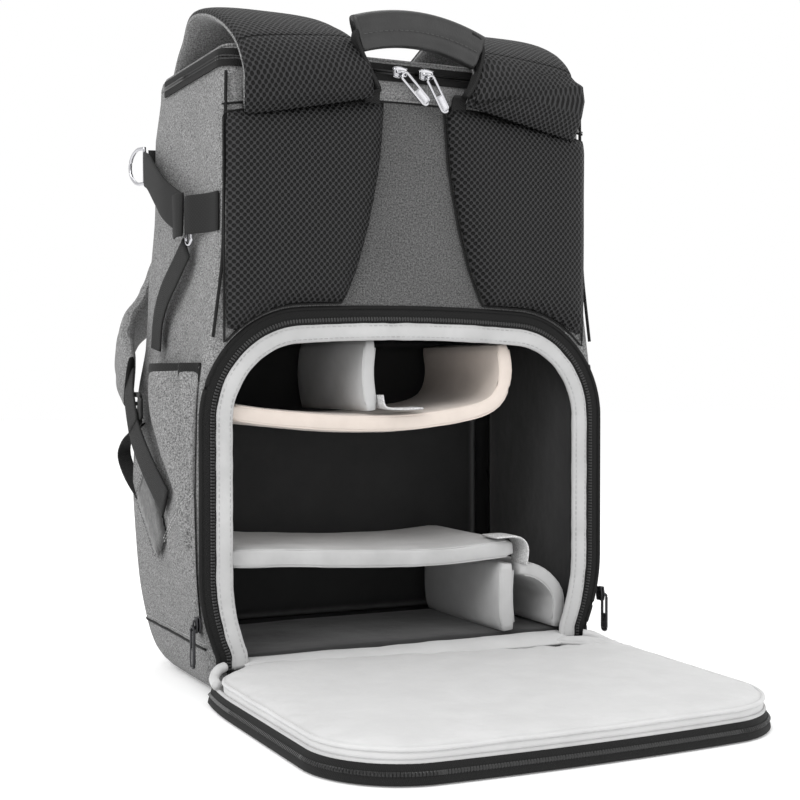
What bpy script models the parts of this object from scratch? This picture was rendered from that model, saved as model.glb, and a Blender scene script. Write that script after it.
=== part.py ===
"""A camera backpack that stands on its base with its back panel's access flap lying open.

Units are metres, +Z is up and the wearer's side faces -Y. The origin is on the base's flat
underside, in the middle of the bag. Every sewn panel, pad, band and metal fitting is its own
object, and what swings or slides has its origin on its axis.
"""

import math

import bmesh
import bpy
from mathutils import Matrix, Vector

# ---------------------------------------------------------------- driving dimensions
GAP = 0.0004  # left between pieces that are sewn or lie against each other
BAG_HEIGHT = 0.445
BACK_Y = -0.078
WALL = 0.005  # canvas with its thin foam backing
WIDTHS = (  # height, half width: the lower half is stuffed out by the camera compartment
    (0.000, 0.1500),
    (0.030, 0.1540),
    (0.080, 0.1585),
    (0.130, 0.1600),
    (0.210, 0.1580),
    (0.262, 0.1510),
    (0.300, 0.1460),
    (0.445, 0.1430),
)
FRONTS = (  # height, how far the front stands out: the lower half is the fuller one
    (0.000, 0.0800),
    (0.060, 0.0920),
    (0.130, 0.0980),
    (0.200, 0.0940),
    (0.260, 0.0830),
    (0.320, 0.0760),
    (0.445, 0.0780),
)
BACK_CORNER = 0.010
FRONT_CORNER = 0.022
BASE_ROUND = 0.022  # rounding of the base's sides
FRONT_BASE_ROUND = 0.070  # the larger rounding under the front
TOP_ROUND = 0.012
BASE_TOP = 0.030
LID_SPLIT = 0.430

MOUTH_HALF = 0.148  # half width of the camera compartment's mouth, where its lip meets the zip
MOUTH_TOP = 0.250
MOUTH_BOW = 0.008  # how far the mouth's top rises in its middle
MOUTH_CORNER = 0.060
LIP = 0.009
TAPE = 0.012
TRIM_DEPTH = 0.006
CORNER_STEPS = 8

HINGE_Y = -0.0845
HINGE_Z = 0.030
FLAP_COVER = 0.0045
FLAP_THICKNESS = 0.0265

LINING_OUTER = 0.1465
LINING_THICKNESS = 0.007
ROOM_FLOOR = 0.0364
ROOM_CEILING = 0.2500
ROOM_BACK = -0.070
ROOM_FRONT = 0.064

PAD_THICKNESS = 0.008
PAD_GAP_TOP = 0.027
PAD_GAP_BOTTOM = 0.0535
PAD_OUTER = 0.1415
PAD_TOP = 0.411
PAD_TOP_DROP = 0.016
STRAP_THICKNESS = 0.012
WEBBING = 0.0022

SIDES = (("left", -1.0), ("right", 1.0))

# ---------------------------------------------------------------- scene and materials


def clear_scene():
    for obj in list(bpy.data.objects):
        bpy.data.objects.remove(obj, do_unlink=True)


def new_collection(name):
    collection = bpy.data.collections.new(name)
    bpy.context.scene.collection.children.link(collection)
    return collection


def material(name, colour, roughness, metallic=0.0):
    made = bpy.data.materials.new(name)
    made.use_nodes = True
    shader = made.node_tree.nodes["Principled BSDF"]
    shader.inputs["Base Color"].default_value = (*colour, 1.0)
    shader.inputs["Roughness"].default_value = roughness
    shader.inputs["Metallic"].default_value = metallic
    return made


clear_scene()
BAG = new_collection("camera_backpack")
CUTTERS = new_collection("cutters")
CANVAS = material("grey_canvas", (0.22, 0.22, 0.22), 0.95)
LINING = material("pale_lining", (0.68, 0.68, 0.67), 0.85)
BEIGE = material("beige_lining", (0.66, 0.60, 0.55), 0.85)
MESH = material("black_air_mesh", (0.028, 0.028, 0.03), 0.8)
WEB = material("black_webbing", (0.035, 0.035, 0.037), 0.75)
LEATHER = material("black_leather", (0.045, 0.045, 0.047), 0.5)
STEEL = material("polished_steel", (0.75, 0.75, 0.76), 0.2, 1.0)
PLASTIC = material("black_plastic", (0.03, 0.03, 0.032), 0.45)


def add(name, data, surface, collection=BAG):
    """Links a new object that holds this mesh or curve, with its material."""
    obj = bpy.data.objects.new(name, data)
    data.materials.append(surface)
    collection.objects.link(obj)
    return obj


def move_origin(obj, point):
    """Puts the origin on the piece's joint without moving its shape."""
    obj.data.transform(Matrix.Translation(-(Vector(point) - obj.location)))
    obj.location = point


# ---------------------------------------------------------------- outlines


def arc(centre, radius, start, end, steps):
    """Points on an arc, from start to end in degrees, both ends included."""
    angles = [math.radians(start + (end - start) * i / steps) for i in range(steps + 1)]
    return [(centre[0] + radius * math.cos(a), centre[1] + radius * math.sin(a)) for a in angles]


def profile(stations, z):
    """Reads a profile of (height, value) stations at a height, straight between neighbours."""
    for (z0, v0), (z1, v1) in zip(stations, stations[1:]):
        if z <= z1:
            return v0 + (v1 - v0) * (z - z0) / (z1 - z0)
    return stations[-1][1]


def rounding(height, radius):
    """How far a rounded edge is set in, this high above where the rounding starts."""
    if height >= radius:
        return 0.0
    return radius - math.sqrt(radius**2 - (radius - height) ** 2)


def section(z, wall=0.0):
    """The bag's outline in plan at a height, drawn in by the wall's thickness."""
    inset = rounding(z, BASE_ROUND) * 0.75 + rounding(BAG_HEIGHT - z, TOP_ROUND)
    half = profile(WIDTHS, z) - inset - wall
    back = BACK_Y + inset + wall
    front = profile(FRONTS, z) - rounding(z, FRONT_BASE_ROUND) * 0.65
    front -= rounding(BAG_HEIGHT - z, TOP_ROUND) + wall
    small, large = BACK_CORNER - wall, FRONT_CORNER - wall
    points = arc((half - small, back + small), small, -90, 0, 3)
    points += arc((half - large, front - large), large, 0, 90, 5)
    points += arc((large - half, front - large), large, 90, 180, 5)
    points += arc((small - half, back + small), small, 180, 270, 3)
    return points


def mouth_arch(offset):
    """The mouth's edge from its lower left over the top to its lower right, as (x, z)."""
    half = MOUTH_HALF + offset
    radius = MOUTH_CORNER + offset
    centre_z = MOUTH_TOP - MOUTH_CORNER
    points = [(-half, BASE_TOP + 0.0004), (-half, 0.08), (-half, 0.14)]
    points += arc((radius - half, centre_z), radius, 180, 90, CORNER_STEPS)
    points += [(x * (half - radius), centre_z + radius) for x in (-0.6, -0.2, 0.2, 0.6)]
    points += arc((half - radius, centre_z), radius, 90, 0, CORNER_STEPS)
    points += [(half, 0.14), (half, 0.08), (half, BASE_TOP + 0.0004)]
    bowed = []
    for x, z in points:
        lift = MOUTH_BOW * (1 - (x / half) ** 2) if z > centre_z else 0.0
        bowed.append((x, z + lift))
    return bowed


def strip(path, thickness):
    """The outline of a band of this thickness that follows a path of (u, v) points."""
    near, far = [], []
    for i, point in enumerate(path):
        before = Vector(path[max(i - 1, 0)])
        after = Vector(path[min(i + 1, len(path) - 1)])
        along = (after - before).normalized()
        side = Vector((-along.y, along.x)) * thickness / 2
        near.append(tuple(Vector(point) + side))
        far.append(tuple(Vector(point) - side))
    return near + far[::-1]


# ---------------------------------------------------------------- shape makers


def outline_curve(name, loops, thickness, surface, rounded=0.0):
    """A flat plate cut to one outer loop, less any further loops, in the local XY plane."""
    curve = bpy.data.curves.new(name, "CURVE")
    curve.dimensions = "2D"
    curve.fill_mode = "BOTH"
    curve.extrude = thickness / 2 - rounded
    curve.bevel_depth = rounded
    curve.bevel_resolution = 1
    for loop in loops:
        spline = curve.splines.new("POLY")
        spline.points.add(len(loop) - 1)
        for point, (u, v) in zip(spline.points, loop):
            point.co = (u, v, 0.0, 1.0)
        spline.use_cyclic_u = True
    return add(name, curve, surface)


def plate_xz(name, loops, y_low, y_high, surface, rounded=0.0):
    """A plate parallel to the back panel: its loops are (x, z)."""
    obj = outline_curve(name, loops, y_high - y_low, surface, rounded)
    obj.rotation_euler = (math.pi / 2, 0.0, 0.0)
    obj.location = (0.0, (y_low + y_high) / 2, 0.0)
    return obj


def plate_yz(name, loops, x_low, x_high, surface):
    """A plate parallel to a side panel: its loops are (y, z)."""
    obj = outline_curve(name, loops, x_high - x_low, surface)
    obj.rotation_euler = (math.pi / 2, 0.0, math.pi / 2)
    obj.location = ((x_low + x_high) / 2, 0.0, 0.0)
    return obj


def plate_xy(name, loops, z_low, z_high, surface, rounded=0.0):
    """A horizontal plate: its loops are (x, y)."""
    obj = outline_curve(name, loops, z_high - z_low, surface, rounded)
    obj.location = (0.0, 0.0, (z_low + z_high) / 2)
    return obj


def block(name, low, high, surface, bevel=0.0, collection=BAG):
    """A box between two corners, its edges rounded if a bevel is given."""
    low, high = Vector(low), Vector(high)
    shape = bmesh.new()
    bmesh.ops.create_cube(shape, size=1.0)
    bmesh.ops.scale(shape, vec=high - low, verts=shape.verts)
    mesh = bpy.data.meshes.new(name)
    shape.to_mesh(mesh)
    shape.free()
    obj = add(name, mesh, surface, collection)
    obj.location = (low + high) / 2
    if bevel:
        modifier = obj.modifiers.new("rounded edges", "BEVEL")
        modifier.width = bevel
        modifier.segments = 2
    return obj


def loft(name, rings, surface, collection=BAG):
    """A closed body through rings of equally many points, capped at both ends."""
    shape = bmesh.new()
    loops = [[shape.verts.new(point) for point in ring] for ring in rings]
    count = len(loops[0])
    for lower, upper in zip(loops, loops[1:]):
        for i in range(count):
            j = (i + 1) % count
            shape.faces.new((lower[i], lower[j], upper[j], upper[i]))
    shape.faces.new(loops[0][::-1])
    shape.faces.new(loops[-1])
    bmesh.ops.recalc_face_normals(shape, faces=shape.faces)
    mesh = bpy.data.meshes.new(name)
    shape.to_mesh(mesh)
    shape.free()
    return add(name, mesh, surface, collection)


def smooth_path(points, per_span):
    """A Catmull-Rom curve through the points, with per_span steps between neighbours."""
    points = [Vector(p) for p in points]
    ends = [2 * points[0] - points[1], *points, 2 * points[-1] - points[-2]]
    found = []
    for a, b, c, d in zip(ends, ends[1:], ends[2:], ends[3:]):
        for i in range(per_span):
            t = i / per_span
            found.append(
                0.5 * (2 * b + (c - a) * t + (2 * a - 5 * b + 4 * c - d) * t**2)
                + 0.5 * (3 * b - a - 3 * c + d) * t**3
            )
    return [*found, points[-1]]


def band(name, path, across, widths, thickness, surface, edge=0.0):
    """A flat band along a path of 3-D points. across gives its width's direction and widths
    its width at each point; edge cuts the corners of a padded one."""
    rings = []
    for i, point in enumerate(path):
        along = (path[min(i + 1, len(path) - 1)] - path[max(i - 1, 0)]).normalized()
        wide = (across[i] - along * across[i].dot(along)).normalized()
        normal = along.cross(wide)
        half, deep = widths[i] / 2, thickness / 2
        if edge:
            corners = (
                (half - edge, -deep),
                (half, edge - deep),
                (half, deep - edge),
                (half - edge, deep),
                (edge - half, deep),
                (-half, deep - edge),
                (-half, edge - deep),
                (edge - half, -deep),
            )
        else:
            corners = ((half, -deep), (half, deep), (-half, deep), (-half, -deep))
        rings.append([point + wide * u + normal * v for u, v in corners])
    return loft(name, rings, surface)


def wire_loop(name, points, radius, surface):
    """A closed ring of round wire through 3-D points."""
    curve = bpy.data.curves.new(name, "CURVE")
    curve.dimensions = "3D"
    curve.bevel_depth = radius
    curve.bevel_resolution = 2
    spline = curve.splines.new("POLY")
    spline.points.add(len(points) - 1)
    for point, place in zip(spline.points, points):
        point.co = (*place, 1.0)
    spline.use_cyclic_u = True
    return add(name, curve, surface)


def cutter(obj):
    """Marks a helper that only cuts other pieces."""
    obj.hide_render = True
    obj.display_type = "WIRE"
    return obj


def boolean(obj, other, operation):
    modifier = obj.modifiers.new(f"{operation.lower()} {other.name}", "BOOLEAN")
    modifier.operation = operation
    modifier.object = other


# ---------------------------------------------------------------- the sewn shell

LEVELS = (
    0.000, 0.003, 0.008, 0.015, 0.022, 0.030, 0.045, 0.060, 0.080, 0.105, 0.130,
    0.165, 0.200, 0.210, 0.236, 0.260, 0.262, 0.280, 0.300, 0.320, 0.380, 0.433,
    0.437, 0.441, 0.445,
)  # fmt: skip


def shell_rings(wall):
    """The bag's outlines from its base to its top, as rings of 3-D points."""
    levels = [z for z in LEVELS if wall <= z <= BAG_HEIGHT - wall]
    if wall:
        levels = [wall, *levels[1:-1], BAG_HEIGHT - wall]
    return [[(x, y, z) for x, y in section(z, wall)] for z in levels]


def shell_panel(name, low, high, mouth, hollow):
    """One sewn panel: the part of the bag's shell that lies between two corners."""
    obj = loft(name, shell_rings(0.0), CANVAS)
    boolean(obj, hollow, "DIFFERENCE")
    region = cutter(block(f"region_{name}", low, high, CANVAS, collection=CUTTERS))
    boolean(obj, region, "INTERSECT")
    if mouth:
        boolean(obj, mouth, "DIFFERENCE")
    return obj


def make_shell():
    """Base, front, back and side panels and the top lid, cut from one hollow shell."""
    hollow = cutter(loft("hollow", shell_rings(WALL), CANVAS, CUTTERS))
    half = MOUTH_HALF + TAPE + GAP
    edge = [(-half, 0.0), *mouth_arch(TAPE + GAP), (half, 0.0)]
    rings = [[(x, y, z) for x, z in edge] for y in (BACK_Y - 0.02, BACK_Y + TRIM_DEPTH)]
    mouth = cutter(loft("mouth", rings, CANVAS, CUTTERS))
    far, seam, low, top = 0.3, 0.115, BASE_TOP + GAP / 2, LID_SPLIT - GAP / 2
    inner = seam - GAP
    shell_panel("base_panel", (-far, -far, -far), (far, far, BASE_TOP - GAP / 2), None, hollow)
    shell_panel("left_side_panel", (-far, -far, low), (-seam, far, top), mouth, hollow)
    shell_panel("right_side_panel", (seam, -far, low), (far, far, top), mouth, hollow)
    shell_panel("front_panel", (-inner, 0.0, low), (inner, far, top), None, hollow)
    shell_panel("back_panel", (-inner, -far, low), (inner, 0.0, top), mouth, hollow)
    lid = shell_panel("top_lid", (-far, -far, LID_SPLIT + GAP / 2), (far, far, far * 2), None, hollow)
    move_origin(lid, (0.0, LID_HINGE[0], LID_HINGE[1]))


LID_HINGE = (0.0782, LID_SPLIT)


def make_top_zip():
    """The two halves of the zip's tape round the top, one on the bag and one on the lid."""
    stand_off = 0.0015
    half, back = profile(WIDTHS, LID_SPLIT) + stand_off, BACK_Y - stand_off
    radius = BACK_CORNER
    path = [(-half, 0.050), (-half, 0.0)]
    path += arc((radius - half, back + radius), radius, 180, 270, 4)
    path += arc((half - radius, back + radius), radius, 270, 360, 4)
    path += [(half, 0.0), (half, 0.050)]
    outline = strip(path, 0.0018)
    plate_xy("top_zip_track", [outline], LID_SPLIT - 0.0060, LID_SPLIT - GAP / 2, WEB)
    tape = plate_xy("lid_zip_track", [outline], LID_SPLIT + GAP / 2, LID_SPLIT + 0.0060, WEB)
    move_origin(tape, (0.0, LID_HINGE[0], LID_HINGE[1]))


# ---------------------------------------------------------------- camera compartment


def make_lining():
    """The padded walls of the camera compartment, each a foam board of its own."""
    inner = LINING_OUTER - LINING_THICKNESS
    near, far = ROOM_BACK, ROOM_FRONT
    block("lining_floor", (-0.142, near, BASE_TOP + GAP), (0.142, far, ROOM_FLOOR - GAP), LINING)
    block("lining_ceiling", (-0.142, near, ROOM_CEILING + GAP), (0.142, far, 0.2590), LINING)
    for side, s in SIDES:
        x_low, x_high = sorted((s * inner, s * LINING_OUTER))
        block(f"lining_{side}_wall", (x_low, near, ROOM_FLOOR), (x_high, far, ROOM_CEILING), LINING)
    low = (-0.132, ROOM_FRONT + GAP, ROOM_FLOOR)
    block("lining_front_wall", low, (0.132, ROOM_FRONT + GAP + 0.006, ROOM_CEILING), LINING)


def make_mouth_trim():
    """The padded lip inside the mouth and the zip's tape round it."""
    lip = mouth_arch(0.0) + mouth_arch(-LIP)[::-1]
    plate_xz("mouth_lip", [lip], BACK_Y - 0.0005, BACK_Y + TRIM_DEPTH - GAP, LINING)
    tape = mouth_arch(TAPE) + mouth_arch(GAP)[::-1]
    plate_xz("mouth_zip_track", [tape], BACK_Y - 0.0005, BACK_Y + TRIM_DEPTH - GAP, WEB)


DIVIDERS = {  # name: (path in (x, z), thickness, material)
    "upper_shelf": (
        [(-0.1366, 0.196), (-0.10, 0.191), (-0.05, 0.187), (0.0, 0.187), (0.045, 0.192),
         (0.068, 0.198), (0.079, 0.208), (0.083, 0.225), (0.080, 0.2445)],
        0.014, BEIGE,
    ),
    "upper_upright": ([(-0.028, 0.1962), (-0.031, 0.222), (-0.029, 0.2465)], 0.012, LINING),
    "lower_shelf": (
        [(-0.1376, 0.104), (-0.09, 0.102), (-0.03, 0.098), (0.03, 0.096), (0.088, 0.099)],
        0.016, LINING,
    ),
    "lower_upright": ([(0.080, 0.0375), (0.0785, 0.062), (0.080, 0.0870)], 0.016, LINING),
    "corner_divider": (
        [(0.0905, 0.076), (0.104, 0.074), (0.118, 0.066), (0.128, 0.053), (0.128, 0.0372)],
        0.013, LINING,
    ),
}  # fmt: skip


def make_dividers():
    """The padded dividers, each held by hook-and-loop ends and pulled straight out."""
    for name, (path, thickness, surface) in DIVIDERS.items():
        flat = [Vector((u, v, 0.0)) for u, v in path]
        curve = [(p.x, p.y) for p in smooth_path(flat, 2)]
        plate_xz(name, [strip(curve, thickness)], ROOM_BACK + 0.002, ROOM_FRONT - 0.001, surface)


# ---------------------------------------------------------------- the access flap


def flap_outline(offset):
    """The flap's edge as it lies open, as (x, y): the mouth's arch laid down at the hinge."""
    return [(x, HINGE_Y - (z - HINGE_Z)) for x, z in mouth_arch(offset)]


def make_flap():
    """The flap's cover, its half of the zip and its padded lining, all hinged on the base."""
    hinge = (0.0, HINGE_Y, HINGE_Z)
    cover = plate_xy("flap_cover", [flap_outline(TAPE - 0.001)], 0.0004, FLAP_COVER, CANVAS)
    ring = flap_outline(TAPE) + flap_outline(-0.001)[::-1]
    tape = plate_xy("flap_zip_track", [ring], FLAP_COVER + GAP, FLAP_COVER + 0.004, WEB)
    low = FLAP_COVER + GAP
    pad = plate_xy("flap_cushion", [flap_outline(-0.0056)], low, FLAP_THICKNESS, LINING, rounded=0.004)
    for obj in (cover, tape, pad):
        move_origin(obj, hinge)


# ---------------------------------------------------------------- the wearer's side


def make_back_pads():
    """The two air-mesh pads beside the middle strip of the back panel."""
    edge = [p for p in mouth_arch(TAPE + 0.0025) if p[1] > MOUTH_TOP - 0.02]
    for side, s in SIDES:
        bottom = [(x, z) for x, z in edge if PAD_GAP_BOTTOM < x * s < PAD_OUTER]
        bottom.sort(key=lambda p: p[0] * s)
        last = bottom[0][1]
        top = []
        for i in range(6):
            share = i / 5
            x = PAD_OUTER + (PAD_GAP_TOP - PAD_OUTER) * share
            top.append((x * s, PAD_TOP - PAD_TOP_DROP * (1 - share) ** 1.6))
        inner = [(s * 0.0315, 0.352), (s * 0.041, 0.305), (s * PAD_GAP_BOTTOM, last)]
        loop = bottom + top + inner
        near = BACK_Y - GAP - PAD_THICKNESS
        plate_xz(f"back_pad_{side}", [loop], near, BACK_Y - GAP, MESH, rounded=0.003)


# Shoulder strap: distance out from the middle, y, z, width, and how far its width has turned
# from across the bag (0) towards along the bag's depth (90 degrees).
STRAP_STATIONS = (
    (0.0900, -0.0960, 0.4190, 0.090, 0),
    (0.0915, -0.1000, 0.4350, 0.090, 0),
    (0.0945, -0.0950, 0.4530, 0.090, 0),
    (0.0975, -0.0740, 0.4700, 0.090, 0),
    (0.0990, -0.0330, 0.4790, 0.088, 0),
    (0.0985, 0.0100, 0.4830, 0.086, 0),
    (0.0960, 0.0500, 0.4770, 0.084, 0),
    (0.0930, 0.0850, 0.4580, 0.080, 0),
    (0.0900, 0.1080, 0.4280, 0.076, 0),
    (0.0890, 0.1180, 0.3900, 0.072, 0),
    (0.0940, 0.1240, 0.3450, 0.068, 8),
    (0.1059, 0.1260, 0.3135, 0.063, 18),
    (0.1220, 0.1260, 0.2905, 0.058, 32),
    (0.1365, 0.1240, 0.2740, 0.055, 46),
    (0.1530, 0.1160, 0.2572, 0.052, 60),
    (0.1630, 0.1020, 0.2410, 0.050, 74),
    (0.1670, 0.0840, 0.2280, 0.048, 82),
    (0.1690, 0.0660, 0.2160, 0.046, 84),
)
STRAP_SLANT = math.radians(8)  # the sewn root drops towards the bag's sides
STRAP_PIVOT = (-0.0960, 0.4170)


def strap_bands(s):
    """The shoulder strap's middle line, width directions and widths on one side."""
    path = smooth_path([(s * x, y, z) for x, y, z, _, _ in STRAP_STATIONS], 1)
    across = []
    for i, (_, _, _, _, turn) in enumerate(STRAP_STATIONS):
        angle = math.radians(turn)
        slant = STRAP_SLANT * max(0.0, 1 - i / 3)
        flat = Vector((s * math.cos(angle), -math.sin(angle), 0.0))
        across.append(flat + Vector((0.0, 0.0, -math.tan(slant))))
    return path, across, [w for _, _, _, w, _ in STRAP_STATIONS]


def rounded_frame(width, height, radius):
    """A rectangle with round corners about the origin."""
    u, v = width / 2 - radius, height / 2 - radius
    points = arc((u, v), radius, 0, 90, 3) + arc((-u, v), radius, 90, 180, 3)
    return points + arc((-u, -v), radius, 180, 270, 3) + arc((u, -v), radius, 270, 360, 3)


def make_shoulder_straps():
    """Both padded straps, folded over the top as when the bag is set down, with their
    lower adjusters, webbing and leather anchor patches."""
    for side, s in SIDES:
        path, across, widths = strap_bands(s)
        pad = band(f"shoulder_strap_{side}", path, across, widths, STRAP_THICKNESS, MESH, edge=0.003)
        pivot = (0.0, *STRAP_PIVOT)
        move_origin(pad, pivot)
        lock = plate_yz(
            f"strap_adjuster_{side}",
            [rounded_frame(0.034, 0.026, 0.005), rounded_frame(0.026, 0.016, 0.002)],
            -0.0025, 0.0025, PLASTIC,
        )  # fmt: skip
        lock.location = (s * 0.1690, 0.0500, 0.1960)
        lock.rotation_euler = (math.pi / 2, 0.0, math.pi / 2)
        stations = ((0.1680, 0.040, 0.1740), (0.1672, 0.028, 0.1620), (0.1660, 0.014, 0.1500), (0.1652, 0.002, 0.1400))
        line = smooth_path([(s * x, y, z) for x, y, z in stations], 2)
        ways = [Vector((0.0, -1.0, 1.0))] * len(line)
        band(f"strap_webbing_{side}", line, ways, [0.025] * len(line), WEBBING, WEB)
        patch = [(0.070, 0.126), (0.044, 0.154), (0.026, 0.148), (0.004, 0.122), (-0.008, 0.106), (0.014, 0.086)]
        x_low, x_high = sorted((s * 0.1608, s * 0.1626))
        plate_yz(f"strap_patch_{side}", [patch], x_low, x_high, LEATHER)


# ---------------------------------------------------------------- carrying handle

HANDLE_PIVOT = (-0.0940, 0.4220)


def make_handle():
    """The stitched leather grip on its two webbing feet."""
    y, half, rise = HANDLE_PIVOT[0], 0.044, 0.009
    points = []
    for i in range(9):
        share = -1 + 2 * i / 8
        points.append(Vector((half * share, y, 0.4685 - rise * share**2)))
    rings = []
    for i, point in enumerate(points):
        along = (points[min(i + 1, 8)] - points[max(i - 1, 0)]).normalized()
        up = Vector((0.0, 1.0, 0.0)).cross(along) * -1
        ring = []
        for a in range(10):
            angle = 2 * math.pi * a / 10
            ring.append(point + up * (0.0130 * math.cos(angle)) + Vector((0.0, 0.0065 * math.sin(angle), 0.0)))
        rings.append(ring)
    grip = loft("handle_grip", rings, LEATHER)
    move_origin(grip, (0.0, *HANDLE_PIVOT))
    run = ((0.0365, 0.4225), (0.0400, 0.4310), (0.0415, 0.4375), (0.0385, 0.4432), (0.0300, 0.4484), (0.0150, 0.4516), (0.0, 0.4528))
    stations = [*run, *[(-x, z) for x, z in run[-2::-1]]]
    line = smooth_path([(x, y, z) for x, z in stations], 2)
    ways = [Vector((0.0, 1.0, 0.0))] * len(line)
    base = band("handle_webbing", line, ways, [0.0084] * len(line), WEBBING, WEB)
    move_origin(base, (0.0, *HANDLE_PIVOT))


# ---------------------------------------------------------------- zip sliders and pulls


def pull_tab(name, length, width, thickness):
    """A flat metal pull with a long slot, its pivot at the origin and its length along -Y."""
    body = [(u, v - length / 2 + 0.0003) for u, v in rounded_frame(width, length, width * 0.32)]
    slot = [(u, v - length / 2 - 0.0017) for u, v in rounded_frame(width - 0.0042, length - 0.012, 0.0016)]
    return outline_curve(name, [body, slot], thickness, STEEL)


TOP_SLIDERS = (("left", -0.013, 45.0), ("right", 0.008, 22.0))  # side, x, tilt of the pull
PULL_Y = -0.0878
FLAP_SLIDER_Z = 0.053


def make_top_sliders():
    """The two sliders of the top zip, met in the middle, with their pulls hanging down."""
    y_face = BACK_Y - 0.0030
    for side, x, tilt in TOP_SLIDERS:
        low = (x - 0.0045, y_face - 0.0050, LID_SPLIT - 0.0062)
        block(f"top_slider_{side}", low, (x + 0.0045, y_face, LID_SPLIT + 0.0062), STEEL, 0.001)
        pull = pull_tab(f"top_pull_{side}", 0.030, 0.0080, 0.0018)
        pull.rotation_euler = (math.pi / 2, math.radians(-tilt), 0.0)
        pull.location = (x, PULL_Y, LID_SPLIT - 0.002)


def make_flap_sliders():
    """The two sliders of the mouth's zip, run down to its ends, with hanging pulls."""
    for side, s in SIDES:
        face = MOUTH_HALF + TAPE + GAP
        x_low, x_high = sorted((s * face, s * (face + 0.0035)))
        block(
            f"flap_slider_{side}",
            (x_low, BACK_Y - 0.004, FLAP_SLIDER_Z - 0.006),
            (x_high, BACK_Y + 0.005, FLAP_SLIDER_Z + 0.006),
            STEEL, 0.001,
        )  # fmt: skip
        pull = pull_tab(f"flap_pull_{side}", 0.030, 0.0080, 0.0018)
        pull.rotation_euler = (math.pi / 2, 0.0, math.pi / 2)
        pull.location = (s * (face + 0.0050), BACK_Y, FLAP_SLIDER_Z)


# ---------------------------------------------------------------- side fittings


def make_side_straps():
    """The strap on each side that cinches the bag: a sewn anchor with its ring, a leather
    band, a D-ring with its loop, and the loose tail that hangs down."""
    for side, s in SIDES:
        anchor = [(s * 0.1470, -0.0600, 0.333), (s * 0.1475, -0.045, 0.333), (s * 0.1500, -0.0385, 0.333)]
        line = [Vector(p) for p in [(s * 0.1470, -0.0700, 0.333), *anchor]]
        ways = [Vector((0.0, 0.0, 1.0))] * len(line)
        band(f"side_anchor_{side}", line, ways, [0.026] * len(line), WEBBING, WEB)
        ring = [(s * 0.1530, -0.0330 + u, 0.331 + v) for u, v in rounded_frame(0.012, 0.036, 0.005)]
        wire_loop(f"side_ring_{side}", ring, 0.0013, STEEL)
        stations = ((0.1530, 0.074, 0.3790), (0.1560, 0.045, 0.3680), (0.1585, 0.010, 0.3500), (0.1570, -0.020, 0.3370))
        line = smooth_path([(s * x, y, z) for x, y, z in stations], 2)
        ways = [Vector((0.0, 0.36, 0.93))] * len(line)
        band(f"side_strap_{side}", line, ways, [0.027] * len(line), 0.0026, LEATHER)
        d_ring = [(0.0, v) for v in (-0.014, 0.0, 0.014)] + arc((0.004, 0.0), 0.014, 75, -75, 8)
        lean = 0.35
        points = [(s * (0.1520 + u * lean), 0.0820 + u, 0.3830 + v) for u, v in d_ring]
        wire_loop(f"side_dring_{side}", points, 0.0014, STEEL)
        line = [Vector((s * x, y, 0.383)) for x, y in ((0.1100, 0.0800), (0.1300, 0.0800), (0.1420, 0.0775), (0.1480, 0.0785))]
        ways = [Vector((0.0, 0.0, 1.0))] * len(line)
        band(f"side_dring_loop_{side}", line, ways, [0.024] * len(line), WEBBING, WEB)
        stations = ((0.1545, -0.024, 0.2990), (0.1580, -0.006, 0.2890), (0.1610, 0.014, 0.2760), (0.1620, 0.022, 0.2580), (0.1625, 0.022, 0.2360))
        line = smooth_path([(s * x, y, z) for x, y, z in stations], 2)
        ways = [Vector((0.0, -1.0, 0.0))] * len(line)
        band(f"side_tail_{side}", line, ways, [0.020] * len(line), WEBBING, WEB)


POCKET = (  # the bottle pockets' outline as (y, z): full at the top, narrowing to the base
    (-0.0660, 0.2280), (0.0300, 0.2280), (0.0280, 0.2000), (-0.0020, 0.1650), (-0.0300, 0.1380),
    (-0.0500, 0.1200), (-0.0660, 0.1100),
)  # fmt: skip


def make_side_pockets():
    """An open-topped bottle pocket on each side."""
    inside, outer, wall = 0.1608, 0.1745, 0.0020
    for side, s in SIDES:
        skins = [[Vector((s * x, y, z)) for y, z in POCKET] for x in (inside, outer)]
        obj = loft(f"bottle_pocket_{side}", skins, CANVAS)
        room = [(y, z + 0.02 if z > 0.22 else z) for y, z in POCKET]
        room = [(y + wall * (1.5 if y < -0.06 else -1.5), z + 0.003) for y, z in room]
        skins = [[Vector((s * x, y, z)) for y, z in room] for x in (inside - 0.002, outer - wall)]
        hollow = loft(f"pocket_room_{side}", skins, CANVAS, CUTTERS)
        boolean(obj, cutter(hollow), "DIFFERENCE")


def front_band(name, low, high, stand_off, depth, half, surface):
    """A piece across the bag's front that follows its bulge between two heights."""
    heights = [low, *[z for z in LEVELS if low < z < high], high]
    inner = [(profile(FRONTS, z) + stand_off, z) for z in heights]
    outer = [(y + depth * (0.35 if z in (low, high) else 1.0), z) for y, z in inner]
    return plate_yz(name, [inner + outer[::-1]], -half, half, surface)


def make_front_pocket():
    """The zipped pocket on the bag's front, over its fuller lower half."""
    front_band("front_pocket", 0.075, 0.270, GAP, 0.016, 0.112, CANVAS)
    front_band("front_zip_track", 0.2705, 0.2825, GAP, 0.003, 0.100, WEB)


def main():
    make_shell()
    make_top_zip()
    make_lining()
    make_mouth_trim()
    make_dividers()
    make_flap()
    make_back_pads()
    make_shoulder_straps()
    make_handle()
    make_top_sliders()
    make_flap_sliders()
    make_side_straps()
    make_side_pockets()
    make_front_pocket()


main()
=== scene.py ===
"""The camera backpack's looks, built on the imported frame: cloth, padding, zips, stitching and metal."""

import math

import bmesh
import bpy
import numpy as np
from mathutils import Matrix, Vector, noise
from mathutils.geometry import delaunay_2d_cdt


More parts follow.
